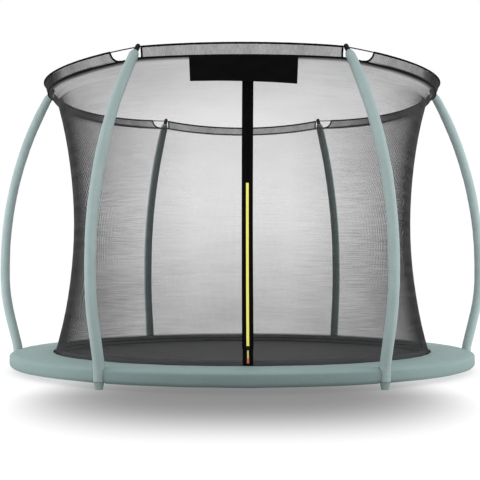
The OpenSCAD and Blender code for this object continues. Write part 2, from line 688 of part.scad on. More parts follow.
for (s = [0:5]) ring_tube(s);
for (k = [0:5]) ring_joint(k);
for (k = [0:5]) pole_lower(k);
for (k = [0:5]) pole_upper(k);
for (k = [0:5]) pole_sleeve(k);
for (k = [0:5]) pole_cap(k);
pole_feet();
bracket_bolts();
pole_screws();
springs();
spring_rings();
jumping_mat();
mat_webbing();
pad_cover();
pad_foam();
pad_straps();
rim_rods();
rod_ferrules();
rod_tunnel();
net_band();
net_hem();
net_flare();
net_wall();
net_foot_tape();
banner();
zip_tape();
zip_chain();
zip_slider();
zip_pull();
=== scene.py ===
"""The looks of the trampoline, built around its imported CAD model. Metres, +Z up, front towards -Y.

Azimuths are in degrees, counted from the front towards +X, as in the CAD source. Every piece of
cloth has a UV map of its own, CLOTH, that holds lengths in metres along and across the cloth.
"""

import math

import bpy
import numpy as np
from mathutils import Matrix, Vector, noise


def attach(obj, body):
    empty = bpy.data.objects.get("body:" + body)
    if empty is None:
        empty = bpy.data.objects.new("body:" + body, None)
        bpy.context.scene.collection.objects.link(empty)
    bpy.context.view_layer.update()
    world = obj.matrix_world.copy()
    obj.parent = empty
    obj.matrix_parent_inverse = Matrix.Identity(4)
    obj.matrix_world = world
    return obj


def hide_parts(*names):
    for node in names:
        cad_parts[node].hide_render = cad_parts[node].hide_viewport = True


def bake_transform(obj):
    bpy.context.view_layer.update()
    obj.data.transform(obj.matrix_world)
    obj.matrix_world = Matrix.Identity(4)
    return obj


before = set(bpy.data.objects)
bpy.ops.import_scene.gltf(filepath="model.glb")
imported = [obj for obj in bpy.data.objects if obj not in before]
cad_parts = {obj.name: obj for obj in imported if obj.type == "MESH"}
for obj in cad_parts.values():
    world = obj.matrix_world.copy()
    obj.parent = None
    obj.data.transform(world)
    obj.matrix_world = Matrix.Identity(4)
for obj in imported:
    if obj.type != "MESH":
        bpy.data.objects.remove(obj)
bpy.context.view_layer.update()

CLOTH = "cloth"
UP = np.array([0, 0, 1.0])

# ---- Dimensions, as in the CAD source ----

POLES = ["front_right", "right", "back_right", "back_left", "left", "front_left"]
POLE_AZIMUTH = [30, 90, 150, 210, 270, 330]
LEAN_TURN = [-7, 0, 12, -12, 0, 7]
POLE_TURN = [14.5, 0, -3, 3, 0, -14.5]
POLE_BASE_R = 1.552
POLE_LEAN = math.radians(14.5)
BEND_Z, BASE_BEND_R, LEAN_LEN = 0.090, 0.250, 0.200
SOCKET_Z, JOINT_Z = 0.647, 0.712
UPPER_BEND_R = 2.440
ROD_BEND = math.radians(29.5)
SLEEVE_R, SLEEVE_NECK_R, SLEEVE_TIP_R = 0.032, 0.0280, 0.0215
FOOT_H = 0.038

LEAN_START_R = POLE_BASE_R + BASE_BEND_R * (1 - math.cos(POLE_LEAN))
LEAN_START_Z = BEND_Z + BASE_BEND_R * math.sin(POLE_LEAN)
LEAN_END_R = LEAN_START_R + LEAN_LEN * math.sin(POLE_LEAN)
LEAN_END_Z = LEAN_START_Z + LEAN_LEN * math.cos(POLE_LEAN)
LOWER_BEND_R = (SOCKET_Z - LEAN_END_Z) / math.sin(POLE_LEAN)
JOINT_R = LEAN_END_R + LOWER_BEND_R * (1 - math.cos(POLE_LEAN))

RING_R, RING_Z, RING_TUBE_R = 1.495, 0.074, 0.019

PAD_INNER, PAD_OUTER, PAD_LOW, PAD_TOP = 1.278, 1.560, 0.096, 0.120
PAD_CROWN, INNER_EDGE_R, OUTER_EDGE = 0.003, 0.007, (0.055, 0.021)
SKIRT_LOW, SKIRT_T, HEM_R, HEM_TURN = 0.034, 0.0025, 0.026, math.radians(60)

MAT_R, MAT_Z, MAT_T = 1.290, 0.083, 0.0025
WEBBING_INNER, WEBBING_OUTER, WEBBING_T = 1.250, 1.296, 0.002
SPRING_COUNT, SPRING_Z, COIL_R, WIRE_R = 60, 0.085, 0.00925, 0.00175
COIL_FROM, COIL_TO = 1.358, 1.462
HOOK_R, HOOK_MAT_R, HOOK_FRAME_R = 0.008, 1.339, 1.477

WAIST_R, WAIST_Z, NET_BEND_R = 1.154, 0.950, 3.150
NET_AXIS_R = WAIST_R + NET_BEND_R
NET_T, NET_FOOT_Z, FLARE_Z = 0.0016, 0.118, 1.781
ROD_MID_R, ROD_SAG, ROD_R = [1.385, 1.366, 1.366] * 2, 0.024, 0.0035
REACH = UPPER_BEND_R * (1 - math.cos(ROD_BEND))
ROD_Z = JOINT_Z + UPPER_BEND_R * math.sin(ROD_BEND)
BAND_H, HEM_H, HEM_IN = 0.062, 0.012, (0.014, 0.028)
CUT_W = [(1.1, 1.1), (8, 4.35), (4.35, 4.9), (1.1, 1.1), (4.9, 4.35), (4.35, 8)]
CUT_CORNER = [(0.3, 0.3), (2.8, 2.35), (2.35, 2.35), (0.3, 0.3), (2.35, 2.35), (2.35, 2.8)]

ZIP_AZIMUTH, ZIP_TOP_Z, ZIP_FOOT_Z, TAPE_W = 1.5, 1.712, 0.121, 0.064
CHAIN_TOP_Z, CHAIN_FOOT_Z, CHAIN_W = 1.145, 0.204, 0.015
TAPE_OUT, TAPE_T, CHAIN_OUT = 0.0003, 0.0012, 0.0016
SLIDER_Z, PIN_DROP, PIN_X, PULL_LEN = 0.213, 0.014, 0.0095, 0.071


# ---- Places ----


def stacked(*parts):
    """Points from their coordinates, which are numbers or arrays that fit one shape."""
    return np.stack(np.broadcast_arrays(*parts), -1)


def placed(radius, azimuth, z):
    """The point at that radius, azimuth and height. Arrays give an array of points."""
    a = np.radians(azimuth)
    return stacked(radius * np.sin(a), -radius * np.cos(a), z).astype(float)


def outward(azimuth):
    return placed(1.0, azimuth, 0.0)


def sideward(azimuth):
    """The level direction in which the azimuth grows."""
    return placed(1.0, np.asarray(azimuth) + 90, 0.0)


def facing(azimuth, out, side, z):
    """The point that far out and to the side as seen at the azimuth, at height z."""
    return out * outward(azimuth) + side * sideward(azimuth) + z * UP


def unit(v):
    return v / np.linalg.norm(v, axis=-1, keepdims=True)


def smooth(t):
    t = np.clip(t, 0, 1)
    return t * t * (3 - 2 * t)


def dip(distance, width):
    """1 at no distance, falling away on both sides over about that width."""
    return np.exp(-((distance / width) ** 2))


def angles(count):
    """That many even angles round a circle, in radians."""
    return np.arange(count) * 2 * math.pi / count


def ripple(points, size, seed, height=1.0):
    """Smooth noise up to about that height each way, with features of that size along each axis."""
    flat = points.reshape(-1, 3) / np.array(size) + seed * 17.3
    return np.array([noise.noise(Vector(p)) for p in flat]).reshape(points.shape[:-1]) * height


def lengths(path):
    """How far along the path each of its points lies."""
    return np.append(0, np.cumsum(np.linalg.norm(np.diff(path, axis=0), axis=1)))


def resampled(path, step):
    """The path with even steps of about that length."""
    at = lengths(path)
    new = np.linspace(0, at[-1], max(2, round(at[-1] / step) + 1))
    return np.stack([np.interp(new, at, path[:, i]) for i in range(3)], 1)


def crossing_beside(k):
    """Where the rim rods cross pole k, outwards and sidewards as seen at the pole's azimuth."""
    lean, turn = math.radians(LEAN_TURN[k]), math.radians(POLE_TURN[k])
    out = POLE_BASE_R + (JOINT_R - POLE_BASE_R) * math.cos(lean) - REACH * math.cos(turn)
    return out, (JOINT_R - POLE_BASE_R) * math.sin(lean) - REACH * math.sin(turn)


def cross_offset(k):
    """Azimuth of that crossing, counted from the pole's."""
    out, side = crossing_beside(k)
    return math.degrees(math.atan2(side, out))


def rod_points(s, t):
    """Radius, azimuth and height of the rim rod's line in span s, for t from -1 to 1."""
    start, end = (facing(POLE_AZIMUTH[k], *crossing_beside(k), 0)[:2] for k in (s - 1, s))
    middle, half = (start + end) / 2, np.linalg.norm(end - start) / 2
    rise = ROD_MID_R[s] - np.linalg.norm(middle)
    sagitta, tilt = math.hypot(rise, ROD_SAG), math.atan2(ROD_SAG, rise)
    r = (half**2 + sagitta**2) / (2 * sagitta)
    a = math.asin(half / r) * np.asarray(t, float)
    along, out = r * np.sin(a), r * np.cos(a) - r + sagitta
    way = (end - start) / (2 * half)
    right = np.array([way[1], -way[0]])
    p = middle + along[..., None] * way + (out * math.cos(tilt))[..., None] * right
    azimuth = np.degrees(np.arctan2(p[..., 0], -p[..., 1]))
    middle_azimuth = s * 60
    azimuth = middle_azimuth + (azimuth - middle_azimuth + 180) % 360 - 180
    return np.hypot(p[..., 0], p[..., 1]), azimuth, ROD_Z - out * math.sin(tilt)


def hem_points(s, t):
    """The same for the hem's line below the rod."""
    r, azimuth, z = rod_points(s, t)
    return r - HEM_IN[0] - (HEM_IN[1] - HEM_IN[0]) * (1 - np.asarray(t) ** 2), azimuth, z - BAND_H


def place_inside(s, side, angle):
    """The place t in span s that lies an angle inside its start (side 0) or its end (side 1)."""
    share = 2 * angle / (60 + cross_offset(s) - cross_offset(s - 1))
    return 1 - share if side else share - 1


def around_rim(line, step_t=0.02):
    """Azimuth, radius and height all round the rim, on the rods' or the hem's line."""
    t = np.arange(-1, 1, step_t)
    found = [line(s, t) for s in range(6)]
    r, azimuth, z = (np.concatenate([f[i] for f in found]) for i in range(3))
    return azimuth, r, z


HEM_TABLE = around_rim(hem_points)


def hem_at(azimuth):
    """Radius and height of the hem at those azimuths."""
    a, r, z = HEM_TABLE
    around = (np.asarray(azimuth) - a[0]) % 360 + a[0]
    return np.interp(around, a, r, period=360), np.interp(around, a, z, period=360)


def net_radius(z):
    return NET_AXIS_R - np.sqrt(NET_BEND_R**2 - (np.asarray(z) - WAIST_Z) ** 2)


def on_zip(z, out=0.0, across=0.0, down=0.0):
    """A point on the zip's line at height z, moved away from the net, across and down along it."""
    slope = np.arcsin((np.asarray(z, float) - WAIST_Z) / NET_BEND_R)
    normal = stacked(np.cos(slope), -np.sin(slope))
    along = stacked(np.sin(slope), np.cos(slope))
    out, across, down = (np.asarray(v, float)[..., None] for v in (out, across, down))
    rz = [NET_AXIS_R, WAIST_Z] - NET_BEND_R * normal + normal * out - along * down
    return facing(ZIP_AZIMUTH, rz[..., :1], across, rz[..., 1:])


def pole_line(k, low, top_bend):
    """The centre line of pole k from height low up to an angle of its upper bend."""
    a = np.linspace(0, POLE_LEAN, 9)[:, None]
    bow = 1 - np.cos(a)
    lower = np.concatenate([
        [[POLE_BASE_R, low], [POLE_BASE_R, BEND_Z]],
        [POLE_BASE_R, BEND_Z] + BASE_BEND_R * np.hstack([bow, np.sin(a)]),
        [JOINT_R, SOCKET_Z] - LOWER_BEND_R * np.hstack([bow, np.sin(a)])[::-1],
        [[JOINT_R, JOINT_Z]],
    ])
    azimuth = POLE_AZIMUTH[k]
    base = outward(azimuth) * POLE_BASE_R
    lean, bent = outward(azimuth + LEAN_TURN[k]), outward(azimuth + POLE_TURN[k])
    b = np.linspace(0, top_bend, 40)[1:, None]
    upper = base + lean * (JOINT_R - POLE_BASE_R) - UPPER_BEND_R * (1 - np.cos(b)) * bent
    upper = upper + (JOINT_Z + UPPER_BEND_R * np.sin(b)) * UP
    lower = base + (lower[:, :1] - POLE_BASE_R) * lean + lower[:, 1:] * UP
    path = np.concatenate([lower, upper])
    same_point = 1e-6
    return path[np.append(True, np.diff(lengths(path)) > same_point)]


# ---- Meshes ----


def added(name, data):
    """A new object in the scene."""
    obj = bpy.data.objects.new(name, data)
    bpy.context.scene.collection.objects.link(obj)
    return obj


class Shell:
    """Collects the vertices, faces and cloth coordinates of one piece."""

    def __init__(self):
        self.points, self.faces, self.cloth, self.count = [], [], [], 0

    def grid(self, points, cloth=None, joined=False):
        """Quads over points[row][column]. If joined, the last column stands on the first."""
        if cloth is None:
            cloth = np.stack(np.meshgrid(lengths(points[0]), lengths(points[:, 0])), -1)
        held = points[:, :-1] if joined else points
        index = self.count + np.arange(held[..., 0].size).reshape(held.shape[:2])
        self.points.append(held.reshape(-1, 3))
        self.count += index.size
        corners = np.column_stack([index, index[:, 0]]) if joined else index
        for c, out in ((corners, self.faces), (cloth, self.cloth)):
            quads = np.stack([c[:-1, :-1], c[:-1, 1:], c[1:, 1:], c[1:, :-1]], 2)
            out.extend(quads.reshape(-1, 4, *quads.shape[3:]).tolist())
        return index

    def lid(self, ring, flip=False):
        """Closes a ring of vertices with one face."""
        ring = [int(i) for i in ring]
        self.faces.append(ring[::-1] if flip else ring)
        self.cloth.append([[0.0, 0.0]] * len(ring))

    def solid(self, points, cloth=None):
        """A joined grid, with lids on its first and its last row."""
        index = self.grid(points, cloth, joined=True)
        self.lid(index[0], flip=True)
        self.lid(index[-1])

    def ring(self, points, cloth):
        """A joined grid whose last row also stands on its first."""
        index = self.grid(points, cloth, joined=True)
        swap = dict(zip(index[-1].tolist(), index[0].tolist()))
        self.faces = [[swap.get(i, i) for i in face] for face in self.faces]

    def tube(self, path, section, first_normal, closed=False):
        """Sweeps section, offsets (normal, binormal) in order round, along the path. Its ends get
        lids, or if closed they meet."""
        path = np.asarray(path, float)
        line = path[:-1] if closed else path
        ways = np.roll(line, -1, 0) - np.roll(line, 1, 0) if closed else np.gradient(line, axis=0)
        ways, normals = unit(ways), np.empty_like(line)
        n = np.asarray(first_normal, float)
        for i, way in enumerate(ways):
            n = unit(n - way * (n @ way))
            normals[i] = n
        section = np.broadcast_to(section, (len(line), *np.shape(section)[-2:]))
        section = np.concatenate([section, section[:, :1]], 1)
        binormals = np.cross(ways, normals)[:, None]
        points = line[:, None] + section[..., :1] * normals[:, None] + section[..., 1:] * binormals
        cloth = stacked(lengths(path)[:, None], lengths(section[len(section) // 2]))
        if closed:
            points = np.concatenate([points, points[:1]])
            self.ring(points.swapaxes(0, 1)[:, ::-1], cloth.swapaxes(0, 1)[:, ::-1])
        else:
            self.solid(points, cloth)

    def piece(self, name, finish, slot=None, body=None, stands_for=(), sharp=None):
        """The object, with a finish, the record's slot, which is not used, the body that it rides on
        and the CAD nodes that it replaces. Faces meet smoothly below the angle sharp, or all of
        them."""
        mesh = bpy.data.meshes.new(name)
        points = np.concatenate(self.points)
        used = np.zeros(len(points), bool)
        used[[i for face in self.faces for i in face]] = True
        renumber = np.cumsum(used) - 1
        faces = [[int(renumber[i]) for i in face] for face in self.faces]
        mesh.from_pydata(points[used].tolist(), [], faces)
        cloth = np.array([c for face in self.cloth for c in face], np.float32)
        mesh.uv_layers.new(name=CLOTH).data.foreach_set("uv", cloth.ravel())
        mesh.shade_smooth()
        if sharp is not None:
            mesh.set_sharp_from_angle(angle=math.radians(sharp))
        mesh.materials.append(finish)
        obj = added(name, mesh)
        if stands_for:
            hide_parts(*stands_for)
        if body:
            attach(obj, body)
        return obj


def circle(r, sides):
    """A circle's points as (normal, binormal) offsets. r may be an array, one radius per point."""
    a = angles(sides)
    return np.stack([r * np.cos(a), r * np.sin(a)], -1)


def flat_section(width, thickness):
    """A flat strip's section with rounded edges: thickness along the normal, width across."""
    a = np.radians([90, 45, 0, -45, -90])
    edge = thickness / 2
    side = np.stack([np.sin(a) * edge, width / 2 - edge + np.cos(a) * edge], 1)
    half = np.concatenate([side, np.linspace(side[-1], -side[0], 4)[1:-1]])
    return np.concatenate([half, -half])


def meets_mat(piece):
    """Bakes the transform of cloth that hangs from the frame and is held at its foot by the mat."""
    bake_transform(piece)


# ---- Finishes ----


def arithmetic(operation, swapped=False):
    """A method of Value that adds a Math node."""

    def method(self, other=0.0):
        pair = (other, self) if swapped else (self, other)
        return self.finish.math(operation, *pair)

    return method


class Value:
    """What a node gives. It varies over the surface, and sums are written as for a number."""

    __add__ = arithmetic("ADD")
    __sub__ = arithmetic("SUBTRACT")
    __rsub__ = arithmetic("SUBTRACT", swapped=True)
    __mul__ = arithmetic("MULTIPLY")
    __truediv__ = arithmetic("DIVIDE")
    __pow__ = arithmetic("POWER")
    __abs__ = arithmetic("ABSOLUTE")
    at_most = arithmetic("MINIMUM")
    at_least = arithmetic("MAXIMUM")

    def __init__(self, finish, socket):
        self.finish, self.socket = finish, socket

    def spread(self, low, high, to_low=0.0, to_high=1.0, **settings):
        """The value moved so that low is to_low and high is to_high, and held between them."""
        ends = {"From Min": low, "From Max": high, "To Min": to_low, "To Max": to_high}
        return self.finish.node("MapRange", {"Value": self, **ends}, **settings)


class Finish:
    """A procedural material: a Principled shader and the nodes that feed it."""

    def __init__(self, name, roughness, metallic=0.0, specular=0.5, sheen=0.0):
        self.material = bpy.data.materials.new(name)
        self.material.use_nodes = True
        self.tree = self.material.node_tree
        self.shader = self.tree.nodes["Principled BSDF"]
        self.normal = None
        for socket, value in {
            "Roughness": roughness,
            "Metallic": metallic,
            "Specular IOR Level": specular,
            "Sheen Weight": sheen,
        }.items():
            self.shader.inputs[socket].default_value = value

    def node(self, kind, inputs=None, output=0, **settings):
        """Adds a node with those inputs and settings, and gives one of its outputs."""
        made = self.tree.nodes.new("ShaderNode" + kind)
        for key, value in settings.items():
            setattr(made, key, value)
        for key, value in (inputs or {}).items():
            if isinstance(value, Value):
                self.tree.links.new(value.socket, made.inputs[key])
            else:
                made.inputs[key].default_value = value
        return Value(self, made.outputs[output])

    def math(self, operation, a, b=0.0, c=0.0):
        return self.node("Math", {0: a, 1: b, 2: c}, operation=operation)

    def coordinates(self, *size):
        """Coordinates that grow by one over each length in size: two of them, along and across
        the cloth, or three in space."""
        if len(size) == 2:
            source, size = self.node("UVMap", uv_map=CLOTH), (*size, math.inf)
        else:
            source = self.node("TexCoord", output="Object")
        scale = [1 / s for s in size]
        return self.node("VectorMath", {0: source, 1: scale}, operation="MULTIPLY")

    def split(self, *size):
        """The same coordinates one by one."""
        made = self.node("SeparateXYZ", {0: self.coordinates(*size)}).socket.node
        return [Value(self, socket) for socket in made.outputs][: len(size)]

    def cloud(self, *size, detail=3.0, low=0.3, high=0.7):
        """Noise with features of that size, spread from 0 to 1."""
        settings = {"Vector": self.coordinates(*size), "Scale": 1.0, "Detail": detail}
        return self.node("TexNoise", settings, output="Fac").spread(low, high)

    def weave(self, pitch, across=None):
        """Height of a plain weave with that distance from thread to thread."""
        x, y = self.split(pitch / math.pi, (across or pitch) / math.pi)
        return (self.math("SINE", x) * self.math("SINE", y)).spread(-1, 1)

    def stitches(self, rows, pitch=0.006, width=0.0012, place=None):
        """1 on the threads of stitch rows that run along the cloth at those distances across it."""
        thread_share = 0.72
        u, v = place or self.split(1, 1)
        dash = self.math("LESS_THAN", self.math("FRACT", u / pitch), thread_share)
        found, *others = [self.math("COMPARE", v, row, width / 2) for row in rows]
        for line in others:
            found = found.at_least(line)
        return found * dash

    def bump(self, height, depth, strength):
        inputs = {"Height": height, "Distance": depth, "Strength": strength}
        if self.normal:
            inputs["Normal"] = self.normal
        self.normal = self.node("Bump", inputs)

    def over(self, factor, below, colour):
        """The colour below, and by that factor the other one over it."""
        inputs = {0: factor, 6: below, 7: (*colour, 1)}
        return self.node("Mix", inputs, output=2, data_type="RGBA")

    def tones(self, factor, dark, light):
        return self.over(factor, (*dark, 1), light)

    def rough(self, value, smoothest, roughest):
        self.drive("Roughness", value.spread(0, 1, smoothest, roughest))

    def drive(self, socket, value):
        self.tree.links.new(value.socket, self.shader.inputs[socket])

    def done(self, colour):
        self.drive("Base Color", colour)
        if self.normal:
            self.drive("Normal", self.normal)
        return self.material


def shade(colour, factor):
    return tuple(c * factor for c in colour)


SAGE = (0.325, 0.410, 0.406)  # of the sleeves
PAD_SAGE = (0.236, 0.322, 0.314)


def pad_vinyl():
    """PVC-coated cloth: a faint weave under the coating, soft creases, dust in broad patches, and
    a skirt darkened towards its lower edge with painted shade."""
    skirt_from, skirt_to = 0.290, 0.372  # across the cloth, from the pad's inner edge
    f = Finish("pad_vinyl", roughness=0.62, specular=0.08)
    patches = f.cloud(0.45, 0.20, detail=4)
    fine = f.cloud(0.006, 0.006, detail=2)
    colour = f.tones(patches, shade(PAD_SAGE, 0.955), shade(PAD_SAGE, 1.03))
    colour = f.over(fine * 0.10, colour, shade(PAD_SAGE, 1.2))
    # Painted shade: the skirt's colour darkens towards its lower edge, where less light falls.
    painted_shade_low = f.split(1, 1)[1].spread(skirt_from, skirt_to, 0, 0.36)
    colour = f.over(painted_shade_low, colour, shade(PAD_SAGE, 0.45))
    f.rough(patches, 0.55, 0.70)
    f.bump(f.weave(0.0011), 0.00010, 0.5)
    f.bump(f.cloud(0.060, 0.035), 0.0022, 0.5)
    return f.done(colour)


def sleeve_fabric(name="sleeve_fabric", painted_shade_inside=False):
    """Woven polyester over foam, with small folds across the pole and faint soiling. The cloth
    starts at the side towards the net, and that side may be darkened with painted shade."""
    f = Finish(name, roughness=0.8, specular=0.10)
    patches = f.cloud(0.16, 0.05, detail=4)
    folds = f.cloud(0.020, 0.070)
    colour = f.tones(patches, shade(SAGE, 0.97), shade(SAGE, 1.08))
    colour = f.over(folds * 0.12, colour, shade(SAGE, 0.75))
    # Painted shade: on the back sleeves the side towards the net is darkened to a shaded sage.
    if painted_shade_inside:
        round_pole = f.split(1, SLEEVE_R)[1]
        from_inside = (2 * math.pi - round_pole).at_most(round_pole)
        painted_shade_panel = from_inside.spread(1.45, 1.15)
        colour = f.over(painted_shade_panel, colour, shade(SAGE, 0.34))
    f.bump(f.weave(0.0010), 0.00018, 0.6)
    f.bump(folds, 0.0016, 0.6)
    return f.done(colour)


def net_mesh():
    """Warp-knitted net: cross threads as a veil between the upright chains. Its meshes close up
    towards the foot and, at the front, towards the top, and it is sewn double along both edges."""
    waist, foot_edge, top_edge = 0.96, (0.066, 0.050), (1.782, 1.802)  # up the cloth from its foot
    f = Finish("net_mesh", roughness=0.85, specular=0.06)
    across, along, _ = f.split(1, 1, 1)
    sideways, height = abs(across), f.split(1, 1)[1]
    streaks = f.cloud(0.28, 0.0068, detail=2, low=0.42, high=0.78)
    drift = f.cloud(0.60, 0.25, detail=2)
    depth = sideways.spread(0.35, 0.95, 0.04, 0.22) * height.spread(1.35, 0.95, 0.45, 1.0)
    veil = (streaks - 0.27) * depth + 0.085 + sideways.spread(0.38, 0.82, 0, 0.038)
    above, below = (height - waist).at_least(0), (waist - height).at_least(0)
    veil = veil + above * above * along.spread(0.95, 0.5, 0.05, 0.60) + below * 0.31
    veil = veil * drift.spread(0, 1, 0.85, 1.15)
    edges = height.spread(*foot_edge, 0, 0.58).at_least(height.spread(*top_edge, 0, 0.45))
    f.drive("Alpha", (veil + edges).at_most(0.97))
    return f.done(f.tones(streaks, (0.075, 0.075, 0.077), (0.050, 0.050, 0.052)))


def net_chain():
    """The net's upright chains of knitted stitches."""
    f = Finish("net_chain", roughness=0.85, specular=0.08)
    knots = f.cloud(0.004, 0.05, detail=1)
    f.bump(knots, 0.0002, 0.5)
    return f.done(f.tones(knots, (0.045, 0.045, 0.046), (0.070, 0.070, 0.072)))


def band_fabric():
    """Denser grey net, gathered into upright crinkles. At both sides they lie closer and the band
    is denser and darkened with painted shade, and its hem is doubled."""
    f = Finish("band_fabric", roughness=0.85, specular=0.08)
    crinkle = f.cloud(0.007, 0.030, detail=4)
    broad = f.cloud(0.11, 0.30)
    across, along, _ = f.split(1, 1, 1)
    sideways, above_hem = abs(across), f.split(1, 1)[1]
    doubled = above_hem.spread(0.013, 0.009) * sideways.spread(0.70, 0.95)
    closer = sideways.spread(0.75, 1.30, 0.0, 0.27) * along.spread(-0.4, 0.4, 0.95, 1.25)
    gathered = sideways.spread(1.10, 1.20) * along.spread(-0.05, 0.25, 1.0, 0.5)
    thick_and_shaded = gathered.at_least(doubled)
    veil = crinkle * 0.16 + 0.57 + broad * 0.12 + closer + thick_and_shaded * 0.35
    f.drive("Alpha", veil.at_most(1.0))
    f.bump(crinkle, 0.0010, 0.7)
    colour = f.tones(crinkle, (0.060, 0.060, 0.062), (0.100, 0.100, 0.102))
    # Where the cloth is denser its colour is darkened nearly to black: painted shade at the far
    # sides, and the dark doubled hem.
    return f.done(f.over(thick_and_shaded * 0.9, colour, (0.009, 0.009, 0.010)))


def black_webbing(name="black_webbing", rows=(), light=0.006):
    """Ribbed polyester tape, with rows of stitches where it is sewn."""
    f = Finish(name, roughness=0.85, specular=0.04)
    dust = f.cloud(0.08, 0.012, detail=4)
    colour = f.tones(dust, (light * 0.55,) * 3, (light * 1.3,) * 3)
    f.bump(f.weave(0.0016, 0.0024), 0.0004, 0.8)
    if rows:
        seam = f.stitches(rows)
        colour = f.over(seam, colour, (light * 3.0,) * 3)
        f.bump(seam, 0.0005, 0.9)
    return f.done(colour)


def mat_fabric():
    """Woven polypropylene: flat shiny slit tapes, and the rings of stitches that strengthen it."""
    rings = (0.30, 0.33, 0.60, 0.63)
    f = Finish("mat_fabric", roughness=0.75, specular=0.10)
    tapes = f.weave(0.0021)
    dust = f.cloud(0.55, 0.35, detail=5)
    bands = f.cloud(2.40, 0.016, detail=2)
    colour = f.tones(dust * 0.65 + bands * 0.35, (0.034, 0.034, 0.035), (0.062, 0.062, 0.064))
    colour = f.over(tapes * 0.25, colour, (0.065, 0.065, 0.067))
    x, y = f.split(1, 1)
    from_middle = f.math("SQRT", x * x + y * y)
    round_middle = f.math("ARCTAN2", y, x) * 0.5
    seam = f.stitches(rings, pitch=0.008, width=0.003, place=(round_middle, from_middle))
    colour = f.over(seam * 0.5, colour, (0.10, 0.10, 0.10))
    f.rough(dust, 0.65, 0.85)
    f.bump(tapes, 0.0003, 0.6)
    return f.done(colour)


def banner_fabric():
    """Black coated cloth with a faint sheen."""
    f = Finish("banner_fabric", roughness=0.7, specular=0.02)
    soft = f.cloud(0.10, 0.05)
    f.rough(soft, 0.60, 0.80)
    f.bump(f.weave(0.0012), 0.00015, 0.5)
    return f.done(f.tones(soft, (0.0025, 0.0025, 0.0027), (0.0045, 0.0045, 0.0048)))


def steel(name, roughness, tone, spangle):
    """Zinc-plated steel with the crystal flowers of hot-dip plating and a few dull patches."""
    f = Finish(name, roughness=roughness, metallic=1.0)
    place = f.coordinates(spangle, spangle, spangle)
    cells = f.node("TexVoronoi", {"Vector": place, "Scale": 1.0}, output="Color")
    flower = f.node("SeparateColor", {0: cells})
    dull = f.cloud(0.09, 0.09, 0.09, detail=5)
    colour = f.tones(flower, shade(tone, 0.80), tone)
    colour = f.over(dull * 0.35, colour, shade(tone, 0.62))
    f.rough(dull, roughness - 0.08, roughness + 0.16)
    f.bump(flower, 0.00004, 0.4)
    return f.done(colour)


def spring_steel():
    """Drawn wire with fine lines from the die."""
    f = Finish("spring_steel", roughness=0.28, metallic=1.0)
    dull = f.cloud(0.02, 0.004)
    f.rough(dull, 0.20, 0.42)
    f.bump(f.cloud(0.030, 0.0004, detail=2), 0.00003, 0.4)
    return f.done(f.tones(dull, (0.42, 0.43, 0.44), (0.70, 0.71, 0.72)))


def plastic(name, colour, roughness, grain=0.0009, specular=0.4):
    """Moulded plastic with a fine spark-eroded grain and rubbed patches."""
    f = Finish(name, roughness=roughness, specular=specular)
    rubbed = f.cloud(0.03, 0.03, 0.03, detail=4)
    f.rough(rubbed, roughness - 0.08, roughness + 0.10)
    f.bump(f.cloud(grain, grain, grain, detail=1), 0.00008, 0.6)
    return f.done(f.tones(rubbed, shade(colour, 0.92), shade(colour, 1.08)))


def zip_yellow():
    """Yellow zip: a ribbed tape under glossy moulded teeth."""
    f = Finish("zip_yellow", roughness=0.42, specular=0.45)
    f.bump(f.weave(0.0008), 0.00012, 0.5)
    return f.done(f.tones(f.cloud(0.05, 0.006), (0.98, 0.90, 0.17), (1.0, 0.97, 0.22)))


def pull_strap():
    """Pale yellow ribbon of the pull."""
    f = Finish("pull_strap", roughness=0.6, specular=0.3, sheen=0.1)
    f.bump(f.weave(0.0009, 0.0014), 0.0002, 0.7)
    return f.done(f.tones(f.cloud(0.01, 0.01), (0.60, 0.54, 0.15), (0.74, 0.67, 0.22)))


GALVANISED = steel("galvanised_steel", 0.38, (0.62, 0.63, 0.64), 0.009)
FASTENER = steel("fastener_steel", 0.30, (0.66, 0.66, 0.65), 0.003)
SPRING = spring_steel()
SLEEVE = sleeve_fabric()
# The back sleeves' finish, with painted shade on their side towards the net.
SHADED_BACK_SLEEVE = sleeve_fabric("back_sleeve_painted_shade", painted_shade_inside=True)
PAD = pad_vinyl()
FOOT = plastic("foot_plastic", shade(PAD_SAGE, 1.08), 0.6, specular=0.2)
CAP = plastic("cap_plastic", (0.005, 0.007, 0.007), 0.45, specular=0.15)
ROD = plastic("rod_fibreglass", (0.014, 0.015, 0.016), 0.45, grain=0.0005, specular=0.15)
MAT = mat_fabric()
WEBBING = black_webbing()
HEM = black_webbing("hem_webbing", rows=(0.0042, 0.0102), light=0.004)
BINDING = black_webbing("binding_webbing", rows=(0.0045,), light=0.004)
TAPE = black_webbing("zip_tape_webbing", rows=(0.006, 0.018, 0.048, 0.060), light=0.003)
BAND = band_fabric()
NET = net_mesh()
CHAIN = net_chain()
BANNER = banner_fabric()
ZIP = zip_yellow()
SLIDER = plastic("slider_plastic", (0.004, 0.004, 0.0045), 0.45, grain=0.0004, specular=0.10)
PULL = pull_strap()
PULL_TIP = plastic("pull_tip", (0.46, 0.150, 0.055), 0.45)


# ---- Steel frame, feet, caps: the CAD's own pieces ----

CAD_FINISHES = [
    (GALVANISED, ("ring_tube", "ring_joint", "pole_lower", "pole_upper", "rod_ferrules")),
    (FASTENER, ("bracket_bolts", "pole_screws", "spring_rings")),
    (FOOT, "pole_feet"),
    (CAP, "pole_cap"),
    (ROD, "rim_rods"),
    (SLIDER, "zip_slider"),
]


def dress_cad_nodes():
    for name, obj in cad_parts.items():
        for finish, starts in CAD_FINISHES:
            if name.startswith(starts):
                for holder in obj.material_slots:
                    holder.link = "OBJECT"
                    holder.material = finish


# ---- Pole sleeves ----


